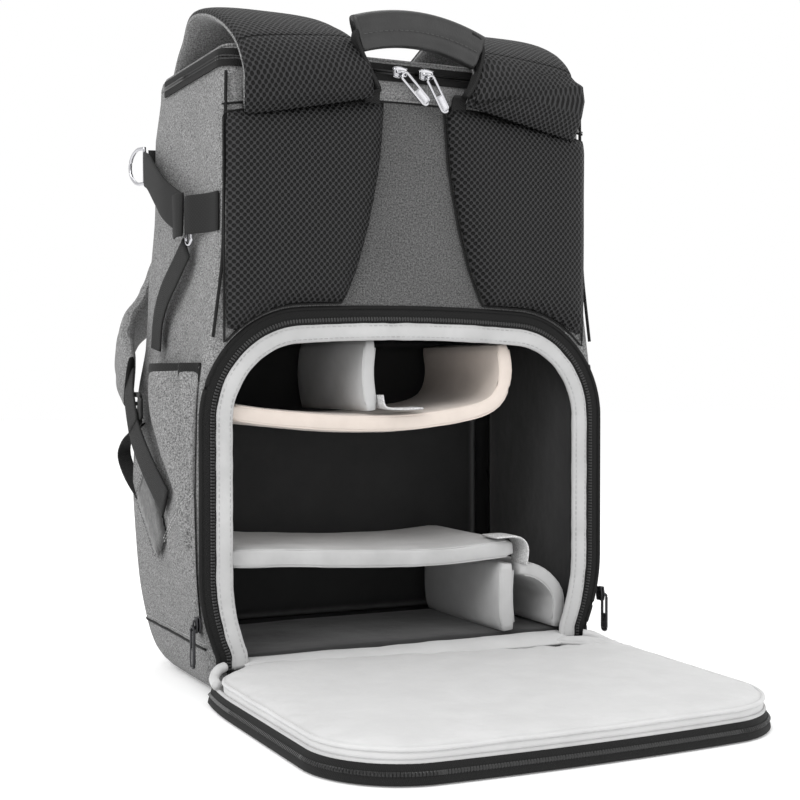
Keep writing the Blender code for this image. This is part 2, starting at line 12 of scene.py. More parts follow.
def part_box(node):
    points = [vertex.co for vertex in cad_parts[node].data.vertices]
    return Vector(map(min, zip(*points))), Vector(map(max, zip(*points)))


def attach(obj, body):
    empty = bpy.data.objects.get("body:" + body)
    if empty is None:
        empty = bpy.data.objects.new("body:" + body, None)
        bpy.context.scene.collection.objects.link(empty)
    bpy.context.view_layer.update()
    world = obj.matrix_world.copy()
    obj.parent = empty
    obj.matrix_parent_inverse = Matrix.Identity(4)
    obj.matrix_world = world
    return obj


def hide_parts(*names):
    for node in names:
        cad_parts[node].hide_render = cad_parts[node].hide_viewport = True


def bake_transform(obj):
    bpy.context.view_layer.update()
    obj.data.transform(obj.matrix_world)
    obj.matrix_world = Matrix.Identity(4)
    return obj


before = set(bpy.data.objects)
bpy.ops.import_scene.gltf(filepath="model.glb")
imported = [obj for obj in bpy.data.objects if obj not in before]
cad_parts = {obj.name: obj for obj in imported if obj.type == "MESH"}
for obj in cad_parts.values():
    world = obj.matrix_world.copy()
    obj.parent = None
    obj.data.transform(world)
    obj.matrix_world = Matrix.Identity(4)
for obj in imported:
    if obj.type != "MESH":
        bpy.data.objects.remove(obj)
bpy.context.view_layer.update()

SIDES = (("left", -1.0), ("right", 1.0))
UP = np.array([0.0, 0.0, 1.0])
FRONTWARD = np.array([0.0, 1.0, 0.0])
LEVEL = np.array([1.0, 1.0, 0.0])
BACK_Y = -0.078
MOUTH_FOOT = 0.021
FLOOR_DROP = 0.0085
LID_SPLIT = 0.4365
PANEL_SEAM = 0.4175
WIDTHS = (
    (0.000, 0.1500), (0.030, 0.1540), (0.080, 0.1585), (0.130, 0.1600), (0.210, 0.1580),
    (0.262, 0.1510), (0.300, 0.1460), (0.445, 0.1430),
)  # fmt: skip
FRONTS = (
    (0.000, 0.0800), (0.060, 0.0920), (0.130, 0.0980), (0.200, 0.0940), (0.260, 0.0830),
    (0.320, 0.0760), (0.445, 0.0780),
)  # fmt: skip
MOUTH_HALF, MOUTH_TOP, MOUTH_BOW, MOUTH_CORNER = 0.148, 0.250, 0.008, 0.060
MOUTH_DRAW = 0.075
TAPE = 0.012
LIP = 0.009
HINGE_Y, HINGE_Z = -0.0845, 0.030
ROOM_BACK, ROOM_FRONT = -0.068, 0.0635
RING = 240
STRAP_SPAN = 8
STRAP_CUT = 3 * STRAP_SPAN

# ---------------------------------------------------------------- materials


class Surface:
    """A Principled material and short ways to add the nodes that drive it."""

    def __init__(self, name, colour, roughness, metallic=0.0):
        self.material = bpy.data.materials.new(name)
        self.material.use_nodes = True
        self.tree = self.material.node_tree
        self.shader = self.tree.nodes["Principled BSDF"].inputs
        colour = colour if isinstance(colour, tuple) else (colour,) * 3
        self.set("Base Color", (*colour, 1.0))
        self.set("Roughness", roughness)
        self.set("Metallic", metallic)
        coordinates = self.tree.nodes.new("ShaderNodeTexCoord").outputs
        self.place, self.uv = coordinates["Object"], coordinates["UV"]

    def feed(self, socket, value):
        """Links an output to a socket, or sets the socket to a plain value."""
        if isinstance(value, bpy.types.NodeSocket):
            self.tree.links.new(value, socket)
        else:
            socket.default_value = value

    def set(self, name, value):
        self.feed(self.shader[name], value)

    def node(self, kind, inputs, output=0, **settings):
        """Adds a node, sets it up, feeds its inputs and returns one of its outputs."""
        made = self.tree.nodes.new("ShaderNode" + kind)
        for key, value in settings.items():
            setattr(made, key, value)
        for key, value in inputs.items():
            self.feed(made.inputs[key], value)
        return made.outputs if output is None else made.outputs[output]

    def math(self, operation, *values):
        return self.node("Math", dict(enumerate(values)), operation=operation)

    def split(self, vector):
        return self.node("SeparateXYZ", {0: vector}, None)

    def noise(self, scale, detail, roughness):
        settings = {"Scale": scale, "Detail": detail, "Roughness": roughness, "Vector": self.place}
        return self.node("TexNoise", settings, "Fac")

    def ramp(self, value, stops):
        node = self.tree.nodes.new("ShaderNodeValToRGB")
        for element, (place, colour) in zip(node.color_ramp.elements, stops):
            element.position = place
            element.color = (*colour, 1.0) if isinstance(colour, tuple) else (colour, colour, colour, 1.0)
        self.feed(node.inputs[0], value)
        return node.outputs["Color"]

    def bump(self, height, strength, distance, under=None):
        inputs = {"Strength": strength, "Distance": distance, "Height": height}
        if under is not None:
            inputs["Normal"] = under
        return self.node("Bump", inputs, "Normal")

    def finish(self, colour, normal=None, roughness=None):
        for name, source in (("Base Color", colour), ("Normal", normal), ("Roughness", roughness)):
            if source is not None:
                self.set(name, source)
        return self.material


def threads(s, pitch):
    """A plain weave's height on any upright or level face, from object coordinates."""
    x, y, z = s.split(s.place)
    turn = 2 * math.pi / pitch
    across = s.math("SINE", s.math("MULTIPLY", s.math("ADD", x, y), turn))
    up = s.math("SINE", s.math("MULTIPLY", s.math("SUBTRACT", z, y), turn))
    return s.math("MULTIPLY_ADD", s.math("MULTIPLY", across, up), 0.5, 0.5)


def canvas(name, dark, light):
    """Heathered canvas: pale and dark fibres flecked through a plain weave."""
    s = Surface(name, dark, 0.92)
    s.set("Specular IOR Level", 0.2)
    flecks = s.ramp(s.noise(820.0, 4.0, 0.75), ((0.37, dark), (0.63, light)))
    cloud = s.ramp(s.noise(22.0, 3.0, 0.6), ((0.3, 0.90), (0.7, 1.0)))
    colour = s.node("Mix", {0: 1.0, 6: flecks, 7: cloud}, 2, data_type="RGBA", blend_type="MULTIPLY")
    normal = s.bump(threads(s, 0.0014), 0.5, 0.0004)
    return s.finish(colour, s.bump(s.noise(900.0, 3.0, 0.7), 0.45, 0.0006, normal))


def air_mesh(name, flat):
    """Black spacer mesh with round holes in staggered rows. flat lays the pattern on XZ."""
    s = Surface(name, (0.02, 0.02, 0.021), 0.62)
    s.set("Specular IOR Level", 0.22)
    parts = s.split(s.place if flat else s.uv)
    pitch = 0.0044

    def hole(shift):
        squares = []
        for way, step in ((parts[0], pitch), (parts[2 if flat else 1], pitch * 1.1)):
            turn = s.math("FRACT", s.math("ADD", s.math("DIVIDE", way, step), shift))
            off = s.math("SUBTRACT", turn, 0.5)
            squares.append(s.math("MULTIPLY", off, off))
        return s.math("SQRT", s.math("ADD", *squares))

    nearest = s.math("MINIMUM", hole(0.0), hole(0.5))
    # The hole pattern is the mesh's own; its near-black colour is painted shade inside the openings.
    colour = s.ramp(nearest, ((0.24, 0.0004), (0.31, (0.034, 0.034, 0.035))))
    normal = s.bump(s.ramp(nearest, ((0.16, 0.0), (0.36, 1.0))), 1.0, 0.0011)
    return s.finish(colour, s.bump(s.noise(1600.0, 2.0, 0.6), 0.3, 0.0003, normal))


def webbing(name, colour, pitch=0.0016):
    """Woven tape: ribs across its length and fine threads, from UVs in metres."""
    s = Surface(name, colour, 0.72)
    s.set("Specular IOR Level", 0.28)
    u, v, _ = s.split(s.uv)
    ribs = s.math("SINE", s.math("MULTIPLY", v, 2 * math.pi / pitch))
    cords = s.math("SINE", s.math("MULTIPLY", u, 2 * math.pi / 0.0026))
    height = s.math("MULTIPLY_ADD", s.math("MULTIPLY", ribs, cords), 0.5, 0.5)
    # Rib crests lighter and grooves darker, following the weave's height: painted highlight and painted
    # shade.
    shade = s.ramp(height, ((0.1, colour * 0.55), (0.9, colour * 1.5)))
    return s.finish(shade, s.bump(height, 0.7, 0.0005))


def nylon(name, low, high, wrinkle=0.6):
    """Brushed nylon over foam: fine threads, soft mottling and shallow creases."""
    s = Surface(name, high, 0.78)
    s.set("Sheen Weight", 0.2)
    colour = s.ramp(s.noise(35.0, 3.0, 0.55), ((0.3, low), (0.7, high)))
    normal = s.bump(threads(s, 0.0009), 0.18, 0.0003)
    normal = s.bump(s.noise(40.0, 3.0, 0.5), wrinkle * 0.5, 0.004, normal)
    return s.finish(colour, s.bump(s.noise(1500.0, 2.0, 0.6), 0.2, 0.0002, normal))


def leather(name, dark, light):
    s = Surface(name, dark, 0.38)
    s.set("Coat Weight", 0.14)
    s.set("Coat Roughness", 0.22)
    grain = s.node("TexVoronoi", {"Scale": 900.0, "Vector": s.place}, "Distance", feature="F1")
    colour = s.ramp(s.noise(60.0, 4.0, 0.65), ((0.35, dark), (0.7, light)))
    rough = s.ramp(s.noise(240.0, 3.0, 0.6), ((0.3, 0.32), (0.7, 0.50)))
    normal = s.bump(s.noise(90.0, 3.0, 0.6), 0.25, 0.0012, s.bump(grain, 0.35, 0.0004))
    return s.finish(colour, normal, rough)


def metal(name, colour, roughness):
    s = Surface(name, colour, roughness, 1.0)
    rough = s.ramp(s.noise(420.0, 3.0, 0.6), ((0.3, roughness * 0.7), (0.75, roughness * 1.7)))
    return s.finish(None, s.bump(s.noise(260.0, 2.0, 0.5), 0.05, 0.0004), rough)


def moulded(name, colour, roughness):
    s = Surface(name, colour, roughness)
    shade = s.ramp(s.noise(80.0, 2.0, 0.5), ((0.3, colour * 0.8), (0.7, colour * 1.25)))
    return s.finish(shade, s.bump(s.noise(1300.0, 2.0, 0.5), 0.15, 0.0003))


CANVAS = canvas("canvas_grey", 0.075, 0.350)
# A darker copy of the grey canvas: painted shade on the back panel.
CANVAS_BACK_PAINTED_SHADE = canvas("canvas_grey_back_painted_shade", 0.030, 0.165)
CANVAS_BLACK = canvas("canvas_black_cover", 0.004, 0.012)
MESH_FLAT = air_mesh("air_mesh_flat", True)
MESH_STRAP = air_mesh("air_mesh_strap", False)
WEB = webbing("webbing_black", 0.0085)
TAPE_WEB = webbing("zip_tape_black", 0.0050, 0.0011)
COIL = moulded("zip_coil_black", 0.012, 0.30)
PALE = nylon("nylon_pale", (0.42, 0.42, 0.42), (0.50, 0.50, 0.50))
WHITE = nylon("nylon_white", (0.52, 0.52, 0.52), (0.565, 0.565, 0.565), 0.8)
LOOP = canvas("hook_and_loop_white", 0.45, 0.80)
BEIGE = nylon("nylon_beige", (0.62, 0.545, 0.49), (0.70, 0.62, 0.56))
# Near-black nylon for the room's boards and the inside faces of body and lid: painted shade.
SHADE = nylon("nylon_room_painted_shade", (0.007, 0.007, 0.0075), (0.012, 0.012, 0.0125))
LEATHER = leather("leather_black", 0.007, 0.016)
STEEL = metal("steel_polished", (0.50, 0.50, 0.52), 0.13)
GUNMETAL = metal("steel_dark", (0.045, 0.045, 0.048), 0.30)
PLASTIC = moulded("plastic_black", 0.012, 0.42)
THREAD_GREY = moulded("thread_grey", 0.36, 0.7)
THREAD_DARK = moulded("thread_dark", 0.05, 0.6)

# ---------------------------------------------------------------- numbers and paths


def profile(stations, z):
    """Reads a profile of (height, value) stations, eased by averaging over a short span."""
    heights = [h for h, _ in stations]
    values = [v for _, v in stations]
    spread = np.linspace(-0.012, 0.012, 7)
    return float(np.mean(np.interp(z + spread, heights, values)))


def rounding(height, radius):
    if height >= radius:
        return 0.0
    return radius - math.sqrt(max(radius**2 - (radius - max(height, 0.0)) ** 2, 0.0))


def arc(centre, radius, start, end, steps):
    angles = [math.radians(start + (end - start) * i / steps) for i in range(steps + 1)]
    return [(centre[0] + radius * math.cos(a), centre[1] + radius * math.sin(a)) for a in angles]


def evenly(points, step, closed=False):
    """The same path with points this far apart."""
    points = np.array(points, float)
    if closed:
        points = np.vstack([points, points[:1]])
    along = np.concatenate([[0.0], np.cumsum(np.linalg.norm(np.diff(points, axis=0), axis=1))])
    count = max(int(round(along[-1] / step)), 3)
    at = np.linspace(0.0, along[-1], count + 1)
    if closed:
        at = at[:-1]
    return np.stack([np.interp(at, along, points[:, i]) for i in range(points.shape[1])], axis=1)


def smooth(points, per_span):
    """A Catmull-Rom curve through the points."""
    p = np.array(points, float)
    p = np.vstack([2 * p[0] - p[1], p, 2 * p[-1] - p[-2]])
    found = []
    for a, b, c, d in zip(p, p[1:], p[2:], p[3:]):
        for i in range(per_span):
            t = i / per_span
            found.append(
                0.5 * (2 * b + (c - a) * t + (2 * a - 5 * b + 4 * c - d) * t**2)
                + 0.5 * (3 * b - a - 3 * c + d) * t**3
            )
    found.append(p[-2])
    return np.array(found)


def unit(v):
    return v / np.maximum(np.linalg.norm(v, axis=-1, keepdims=True), 1e-12)


def tangents(path, closed=False):
    if closed:
        return unit(np.roll(path, -1, axis=0) - np.roll(path, 1, axis=0))
    return unit(np.gradient(path, axis=0))


def mouth_arch(offset, low=MOUTH_FOOT, corner=MOUTH_CORNER, draw=MOUTH_DRAW):
    """The mouth's edge from its lower left over the top to its lower right, as (x, z)."""
    half = MOUTH_HALF + offset
    radius = corner + offset
    centre = MOUTH_TOP - corner
    points = [(-half, low), (-half, 0.10)]
    points += arc((radius - half, centre), radius, 180, 90, 24)
    points += [(x * (half - radius), centre + radius) for x in np.linspace(-0.9, 0.9, 13)]
    points += arc((half - radius, centre), radius, 90, 0, 24)
    points += [(half, 0.10), (half, low)]
    points = evenly(points, 0.003)
    x, z = points[:, 0], points[:, 1]
    lift = np.where(z > centre, MOUTH_BOW * (1 - (x / half) ** 2), 0.0)
    drawn = 1 - draw * np.clip((0.085 - z) / 0.055, 0, 1) ** 2
    return np.stack([x * drawn, z + lift], axis=1)


def inside(polygon, u, v):
    """True where (u, v) lies in the polygon, for arrays."""
    found = np.zeros(np.shape(u), bool)
    for (x0, y0), (x1, y1) in zip(polygon, np.roll(polygon, -1, axis=0)):
        crosses = (y0 > v) != (y1 > v)
        with np.errstate(divide="ignore", invalid="ignore"):
            at = (x1 - x0) * (v - y0) / (y1 - y0 + 1e-15) + x0
        found ^= crosses & (u < at)
    return found


def edge_distance(polygon, u, v):
    """How far (u, v) is from the polygon's edge, for arrays."""
    best = np.full(np.shape(u), 1e9)
    for a, b in zip(polygon, np.roll(polygon, -1, axis=0)):
        d = b - a
        t = np.clip(((u - a[0]) * d[0] + (v - a[1]) * d[1]) / max(d @ d, 1e-18), 0, 1)
        best = np.minimum(best, np.hypot(u - a[0] - t * d[0], v - a[1] - t * d[1]))
    return best


def wander(points, scale, seed=0.0):
    """Smooth noise from about -1 to 1 at each point; scale is the waves' size in metres."""
    return np.array([noise.noise(Vector(p) / scale + Vector((seed, seed * 0.7, -seed))) for p in points])


def raised(line, z):
    """A path in plan set at a height."""
    return np.hstack([line, np.full((len(line), 1), z)])


# ---------------------------------------------------------------- mesh makers


def add_mesh(name, vertices, faces, surface, uvs=None):
    mesh = bpy.data.meshes.new(name)
    mesh.from_pydata([tuple(v) for v in vertices], [], [tuple(f) for f in faces])
    for made in surface if isinstance(surface, (list, tuple)) else [surface]:
        mesh.materials.append(made)
    if uvs is not None:
        mesh.uv_layers.new(name="UVMap").data.foreach_set("uv", np.array(uvs, float).reshape(-1))
    mesh.polygons.foreach_set("use_smooth", [True] * len(mesh.polygons))
    mesh.validate()
    obj = bpy.data.objects.new(name, mesh)
    bpy.context.scene.collection.objects.link(obj)
    return obj


def grid(name, rows, surface, closed_rows=False, closed_columns=False, caps=False, uv=None):
    """A surface through rows of points. uv holds a (u, v) for every point, in metres."""
    rows = np.array(rows, float)
    count, width = rows.shape[:2]
    faces, corners = [], []
    for i in range(count if closed_columns else count - 1):
        k = (i + 1) % count
        for j in range(width if closed_rows else width - 1):
            m = (j + 1) % width
            faces.append((i * width + j, i * width + m, k * width + m, k * width + j))
            if uv is not None:
                corners += [uv[i][j], uv[i][j + 1], uv[k][j + 1], uv[k][j]]
    if caps:
        faces.append(tuple(range(width))[::-1])
        faces.append(tuple((count - 1) * width + j for j in range(width)))
        corners += [(0.0, 0.0)] * (2 * width)
    return face_out(add_mesh(name, rows.reshape(-1, 3), faces, surface, corners if uv is not None else None))


def face_out(obj, before=None, after=None):
    """Turns the mesh's faces outwards, with an edit before or after."""
    shape = bmesh.new()
    shape.from_mesh(obj.data)
    if before is not None:
        before(shape)
    bmesh.ops.recalc_face_normals(shape, faces=shape.faces)
    if after is not None:
        after(shape)
    shape.to_mesh(obj.data)
    shape.free()
    return obj


def cells_inside(outline, cell, margin):
    """A grid of points over an outline and which of them lie inside it by a share of a cell."""
    lows, highs = outline.min(axis=0) - cell, outline.max(axis=0) + cell
    spans = (np.arange(lows[0], highs[0], cell), np.arange(lows[1], highs[1], cell))
    uu, vv = np.meshgrid(*spans, indexing="ij")
    return uu, vv, inside(outline, uu, vv) & (edge_distance(outline, uu, vv) > cell * margin)


def sweep(name, path, across, section, surface, closed=False, caps=True, split=None):
    """A section swept along a path. section(share) gives (across, outward) points, and across
    is one direction or one for each point. split picks the faces of the second material."""
    path = np.array(path, float)
    across = np.broadcast_to(np.array(across, float), path.shape)
    along = tangents(path, closed)
    wide = unit(across - along * np.sum(across * along, axis=1, keepdims=True))
    normal = np.cross(along, wide)
    travel = np.concatenate([[0.0], np.cumsum(np.linalg.norm(np.diff(path, axis=0), axis=1))])
    rows, uv = [], []
    for i, point in enumerate(path):
        ring = np.array(section(i / (len(path) - 1)), float)
        rows.append(point + wide[i] * ring[:, :1] + normal[i] * ring[:, 1:2])
        sides = np.linalg.norm(np.roll(ring, -1, axis=0) - ring, axis=1)
        girth = np.concatenate([[0.0], np.cumsum(sides)])
        uv.append([(g - girth[-1] / 2, travel[i]) for g in girth])
    obj = grid(name, rows, surface, closed_rows=True, closed_columns=closed, caps=caps and not closed, uv=uv)
    if split is not None:
        width = len(rows[0])
        for face in obj.data.polygons[: (len(path) - (0 if closed else 1)) * width]:
            if split((face.index % width + 0.5) / width, face.index // width / len(path)):
                face.material_index = 1
    return obj


def oval(half_width, half_depth, power=2.6, steps=20):
    """A rounded-box outline; a power of 2 is an ellipse and more is squarer."""
    points = []
    for i in range(steps):
        a = 2 * math.pi * i / steps
        c, s = math.cos(a), math.sin(a)
        u = half_width * math.copysign(abs(c) ** (2 / power), c)
        points.append((u, half_depth * math.copysign(abs(s) ** (2 / power), s)))
    return points


def ribbon(name, path, across, half, thin, surface, power=4.0, steps=14):
    """A flat tape along a path; half and thin are half its width and thickness."""
    ring = oval(half, thin, power, steps)
    return sweep(name, path, across, lambda share: ring, surface)


def tube(name, path, radius, surface, closed=False, steps=8):
    along = tangents(np.array(path, float), closed)
    side = np.cross(along, UP)
    weak = np.linalg.norm(side, axis=1) < 0.3
    side[weak] = np.cross(along[weak], np.array([1.0, 0.0, 0.0]))
    ring = oval(radius, radius, 2.0, steps)
    return sweep(name, path, side, lambda share: ring, surface, closed=closed)


def beads(name, path, normals, size, gap, surface):
    """Small rounded bars along a path: stitches, or the teeth of a coil zip."""
    path = np.array(path, float)
    length, width, rise = size
    normals = np.broadcast_to(np.array(normals, float), path.shape)
    spots = evenly(np.hstack([path, normals]), length + gap)
    points, ups = spots[:, :3], unit(spots[:, 3:])
    along = tangents(points)
    side = unit(np.cross(ups, along))
    shape = [(-1, -0.6, 0), (-0.7, 0, 1), (-1, 0.6, 0), (1, -0.6, 0), (0.7, 0, 1), (1, 0.6, 0)]
    bar = [(0, 1, 4, 3), (1, 2, 5, 4), (0, 2, 1), (3, 4, 5)]
    vertices, faces = [], []
    for p, u, a, s in zip(points, ups, along, side):
        faces += [tuple(i + len(vertices) for i in face) for face in bar]
        vertices += [p + a * x * length / 2 + s * y * width + u * z * rise for x, y, z in shape]
    return add_mesh(name, vertices, faces, surface)


def stitches(name, path, out, body, slot, thread, size=(0.0024, 0.0004, 0.0005), gap=0.0012):
    ride(beads(name, path, out, size, gap, thread), body, slot)


def coil(name, path, out, size, gap, body="bag"):
    """The teeth of a zip along its edge."""
    ride(beads(name, path, out, size, gap, COIL), body, "black_webbing")


def join(name, objects):
    """One mesh from several, with their materials."""
    first = objects[0]
    with bpy.context.temp_override(active_object=first, selected_editable_objects=objects, object=first):
        bpy.ops.object.join()
    first.name = name
    return first


def settle(obj, kind, **settings):
    """Applies one modifier to the mesh for good."""
    modifier = obj.modifiers.new("shape", kind)
    for key, value in settings.items():
        setattr(modifier, key, value)
    bpy.context.view_layer.update()
    evaluated = obj.evaluated_get(bpy.context.evaluated_depsgraph_get())
    mesh = bpy.data.meshes.new_from_object(evaluated)
    obj.modifiers.clear()
    obj.data = mesh
    mesh.polygons.foreach_set("use_smooth", [True] * len(mesh.polygons))
    mesh.update()


def thicken(obj, thickness, offset=0.0):
    """Gives a sheet its cloth's thickness."""
    settle(obj, "SOLIDIFY", thickness=thickness, offset=offset)


def points_of(obj):
    co = np.zeros(len(obj.data.vertices) * 3)
    obj.data.vertices.foreach_get("co", co)
    return co.reshape(-1, 3)


def set_points(obj, points):
    obj.data.vertices.foreach_set("co", np.asarray(points, float).reshape(-1))
    obj.data.update()


def pad_from_outline(name, outline, low, high, crown, edge, plane, surface, cell=0.004):
    """A crowned pad: a plate cut to an outline whose two faces close in towards its edge.
    plane maps (u, v, height) to a point; crown is the extra height in the pad's middle."""
    outline = np.array(outline, float)
    uu, vv, keep = cells_inside(outline, cell, 0.35)
    index = -np.ones(uu.shape, int)
    index[keep] = np.arange(keep.sum())
    quads = np.stack([index[:-1, :-1], index[1:, :-1], index[1:, 1:], index[:-1, 1:]], axis=-1).reshape(-1, 4)
    used, quads = np.unique(quads[quads.min(axis=1) >= 0], return_inverse=True)
    quads = [tuple(int(i) for i in quad) for quad in quads.reshape(-1, 4)]
    flat = np.stack([uu[keep], vv[keep]], axis=1)[used].astype(np.float32)
    edges = [pair for quad in quads for pair in zip(quad, quad[1:] + quad[:1])]
    known = set(edges)
    rim = [(a, b) for a, b in edges if (b, a) not in known]
    ends = evenly(outline, cell * 0.25, closed=True)
    for i in {i for pair in rim for i in pair}:
        flat[i] = ends[np.argmin(np.hypot(*(ends - flat[i]).T))]
    flat = flat.astype(float)
    depth = edge_distance(outline, flat[:, 0], flat[:, 1])
    rise = np.sqrt(np.clip(1 - (1 - np.clip(depth / edge, 0, 1)) ** 2, 0, 1))
    middle, half = (low + high) / 2, (high - low) / 2
    dome = np.clip(depth / (edge * 4), 0, 1)
    top = middle + half * rise + crown * (dome * (2 - dome)) * 0.9
    bottom = middle - half * rise
    count = len(flat)
    vertices = [plane(u, v, height) for heights in (top, bottom) for (u, v), height in zip(flat, heights)]
    faces = quads + [tuple(i + count for i in quad[::-1]) for quad in quads]
    faces += [(b, a, a + count, b + count) for a, b in rim]
    obj = add_mesh(name, vertices, faces, surface)

    def ease(shape):
        every_way = {f"use_axis_{axis}": True for axis in "xyz"}
        bmesh.ops.smooth_vert(shape, verts=shape.verts, factor=0.5, **every_way)

    return face_out(obj, after=ease)


def ride(obj, body, slot, *nodes):
    """Sets the body of a piece and hides its CAD nodes. The slot is not used."""
    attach(obj, body)
    if nodes:
        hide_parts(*nodes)
    return obj


def bend(obj, body, slot, start, end, *nodes):
    """Hides the CAD nodes a piece replaces and bakes its transform into its mesh. The body, start and end are
    not used.
    """
    if nodes:
        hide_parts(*nodes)
    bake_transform(obj)


def mirrored(s, points):
    return [(s * x, y, z) for x, y, z in points]


# ---------------------------------------------------------------- the shell


def plan_outline(z, inset=0.0):
    """The bag's outline in plan at a height, as (x, y) points."""
    draw = rounding(z, 0.022) * 0.75 + inset
    half = profile(WIDTHS, z) - draw
    back = BACK_Y + draw * 0.9
    front = profile(FRONTS, z) - rounding(z, 0.070) * 0.65 - inset
    small, large = 0.010, 0.013
    points = [(0.0, back)]
    points += arc((half - small, back + small), small, -90, 0, 6)
    points += arc((half - large, front - large), large, 0, 90, 10)
    points += arc((large - half, front - large), large, 90, 180, 10)
    points += arc((small - half, back + small), small, 180, 270, 6)
    return np.array(points)


def shell_ring(z, inset=0.0):
    """The outline at a height as RING points, starting at the middle of the back."""
    ring = evenly(plan_outline(z, inset), 0.001, closed=True)
    along = np.linspace(0, len(ring), RING, endpoint=False)
    ring = np.vstack([ring, ring[:1]])
    x, y = (np.interp(along, np.arange(len(ring)), ring[:, axis]) for axis in (0, 1))
    return np.stack([x, y, np.full(RING, z)], axis=1)


def dress(points):
    """Lets the canvas swell and crease a little, less near its seams and behind its fittings."""
    flat = points.reshape(-1, 3)
    z = flat[:, 2]
    calm = np.clip((z - 0.004) / 0.05, 0, 1) * np.clip((LID_SPLIT - 0.006 - z) / 0.03, 0, 1)
    side = np.clip((np.abs(flat[:, 0]) - 0.12) / 0.02, 0, 1)
    far = np.clip((flat[:, 1] - 0.05) / 0.02, 0, 1)
    loose = np.clip(side * np.clip((flat[:, 1] + 0.072) / 0.03, 0, 1) + far, 0, 1)
    outward = unit(flat * np.stack([side, far, far * 0], axis=1) + 1e-9)
    settled = np.clip((z - 0.155) / 0.05, 0.25, 1)
    broad = wander(flat, 0.085, 3.0) * 0.0022 * settled
    creases = wander(flat * np.array([1.0, 1.0, 0.45]), 0.022, 7.0) * 0.0011
    swell = 0.0010 * np.sin(np.clip((z - 0.03) / 0.40, 0, 1) * math.pi)
    swell += 0.0038 * np.clip((z - 0.24) / 0.05, 0, 1) * np.clip((flat[:, 1] + 0.02) / 0.06, 0, 1) * side
    return (flat + outward * ((broad + creases + swell) * calm * loose)[:, None]).reshape(points.shape)


def make_shell():
    """The sewn body: one canvas skin from the base up to the zip, cut open at the mouth."""
    heights = [0.0, 0.0015, 0.004, 0.008, *np.arange(0.012, 0.434, 0.004), LID_SPLIT - 0.0004]
    rows = dress(np.array([shell_ring(z) for z in heights]))
    arch = mouth_arch(TAPE - 0.003, 0.0)
    polygon = np.vstack([arch, [[arch[-1][0], MOUTH_FOOT], [arch[0][0], MOUTH_FOOT]]])
    polygon = polygon[polygon[:, 1] >= MOUTH_FOOT - 0.0001]
    middles = (rows[:-1] + rows[1:]) / 2
    middles = (middles + np.roll(middles, -1, axis=1)) / 2
    x, y, z = (middles[..., axis] for axis in range(3))
    open_here = (y < -0.0665) & inside(polygon, x, z)
    # Faces on the back panel take the darker canvas copy as painted shade.
    painted_shade_back = (y < -0.0765) & (z < PANEL_SEAM) & (np.abs(x) < 0.13)
    faces, marks = [], []
    for i, j in np.argwhere(~open_here):
        m = (j + 1) % RING
        faces.append((i * RING + j, i * RING + m, (i + 1) * RING + m, (i + 1) * RING + j))
        marks.append(int(painted_shade_back[i, j]))
    bottom = rows.size // 3
    faces += [(j, bottom + j, bottom + (j + 1) % RING, (j + 1) % RING) for j in range(RING)]
    faces.append(tuple(bottom + j for j in range(RING))[::-1])
    marks += [2] * (RING + 1)
    vertices = np.vstack([rows.reshape(-1, 3), shell_ring(0.0, 0.012)])
    obj = add_mesh("canvas_body", vertices, faces, [CANVAS, CANVAS_BACK_PAINTED_SHADE, CANVAS_BLACK, SHADE])
    for face, mark in zip(obj.data.polygons, marks):
        face.material_index = mark
    face_out(obj)
    # The inside faces take the near-black nylon as painted shade.
    settle(obj, "SOLIDIFY", thickness=0.0035, offset=-1.0, material_offset=3, material_offset_rim=0)
    nodes = ("base_panel", "front_panel", "left_side_panel", "right_side_panel", "back_panel")
    return ride(obj, "bag", "grey_canvas", *nodes)


def make_seams():
    """Piping down the back's corners, the back panel's top seam and the base's sewn line."""
    heights = np.arange(0.247, LID_SPLIT - 0.004, 0.006)
    for side, s in SIDES:
        line = [(s * (profile(WIDTHS, z) - 0.0022), BACK_Y - 0.0006, z) for z in heights]
        ride(tube(f"corner_piping_{side}", line, 0.0012, TAPE_WEB), "bag", "black_webbing")
    places = np.linspace(-0.144, 0.144, 61)
    line = [(x, BACK_Y - 0.0003, PANEL_SEAM - 0.012 * (abs(x) / 0.146) ** 2) for x in places]
    ride(tube("back_seam_welt", line, 0.0010, CANVAS, steps=6), "bag", "grey_canvas")
    dark = [(x, y, z - 0.0015) for x, y, z in line]
    ride(tube("back_seam_shadow", dark, 0.0007, TAPE_WEB, steps=6), "bag", "black_webbing")
    ring = dress(np.array([shell_ring(z, -0.0002) for z in (0.0345, 0.0350)]))[0]
    keep = ring[ring[:, 1] > BACK_Y + 0.006]
    start = int(np.argmax(np.linalg.norm(keep - np.roll(keep, 1, axis=0), axis=1)))
    keep = np.roll(keep, -start, axis=0)
    ride(tube("base_seam", evenly(keep, 0.005), 0.0009, TAPE_WEB, steps=6), "bag", "grey_canvas")
    above = evenly(keep, 0.003) + 0.0035 * UP
    out = unit(above * LEVEL)
    stitches("base_stitches", above + out * 0.0004, out, "bag", "grey_canvas", THREAD_GREY)


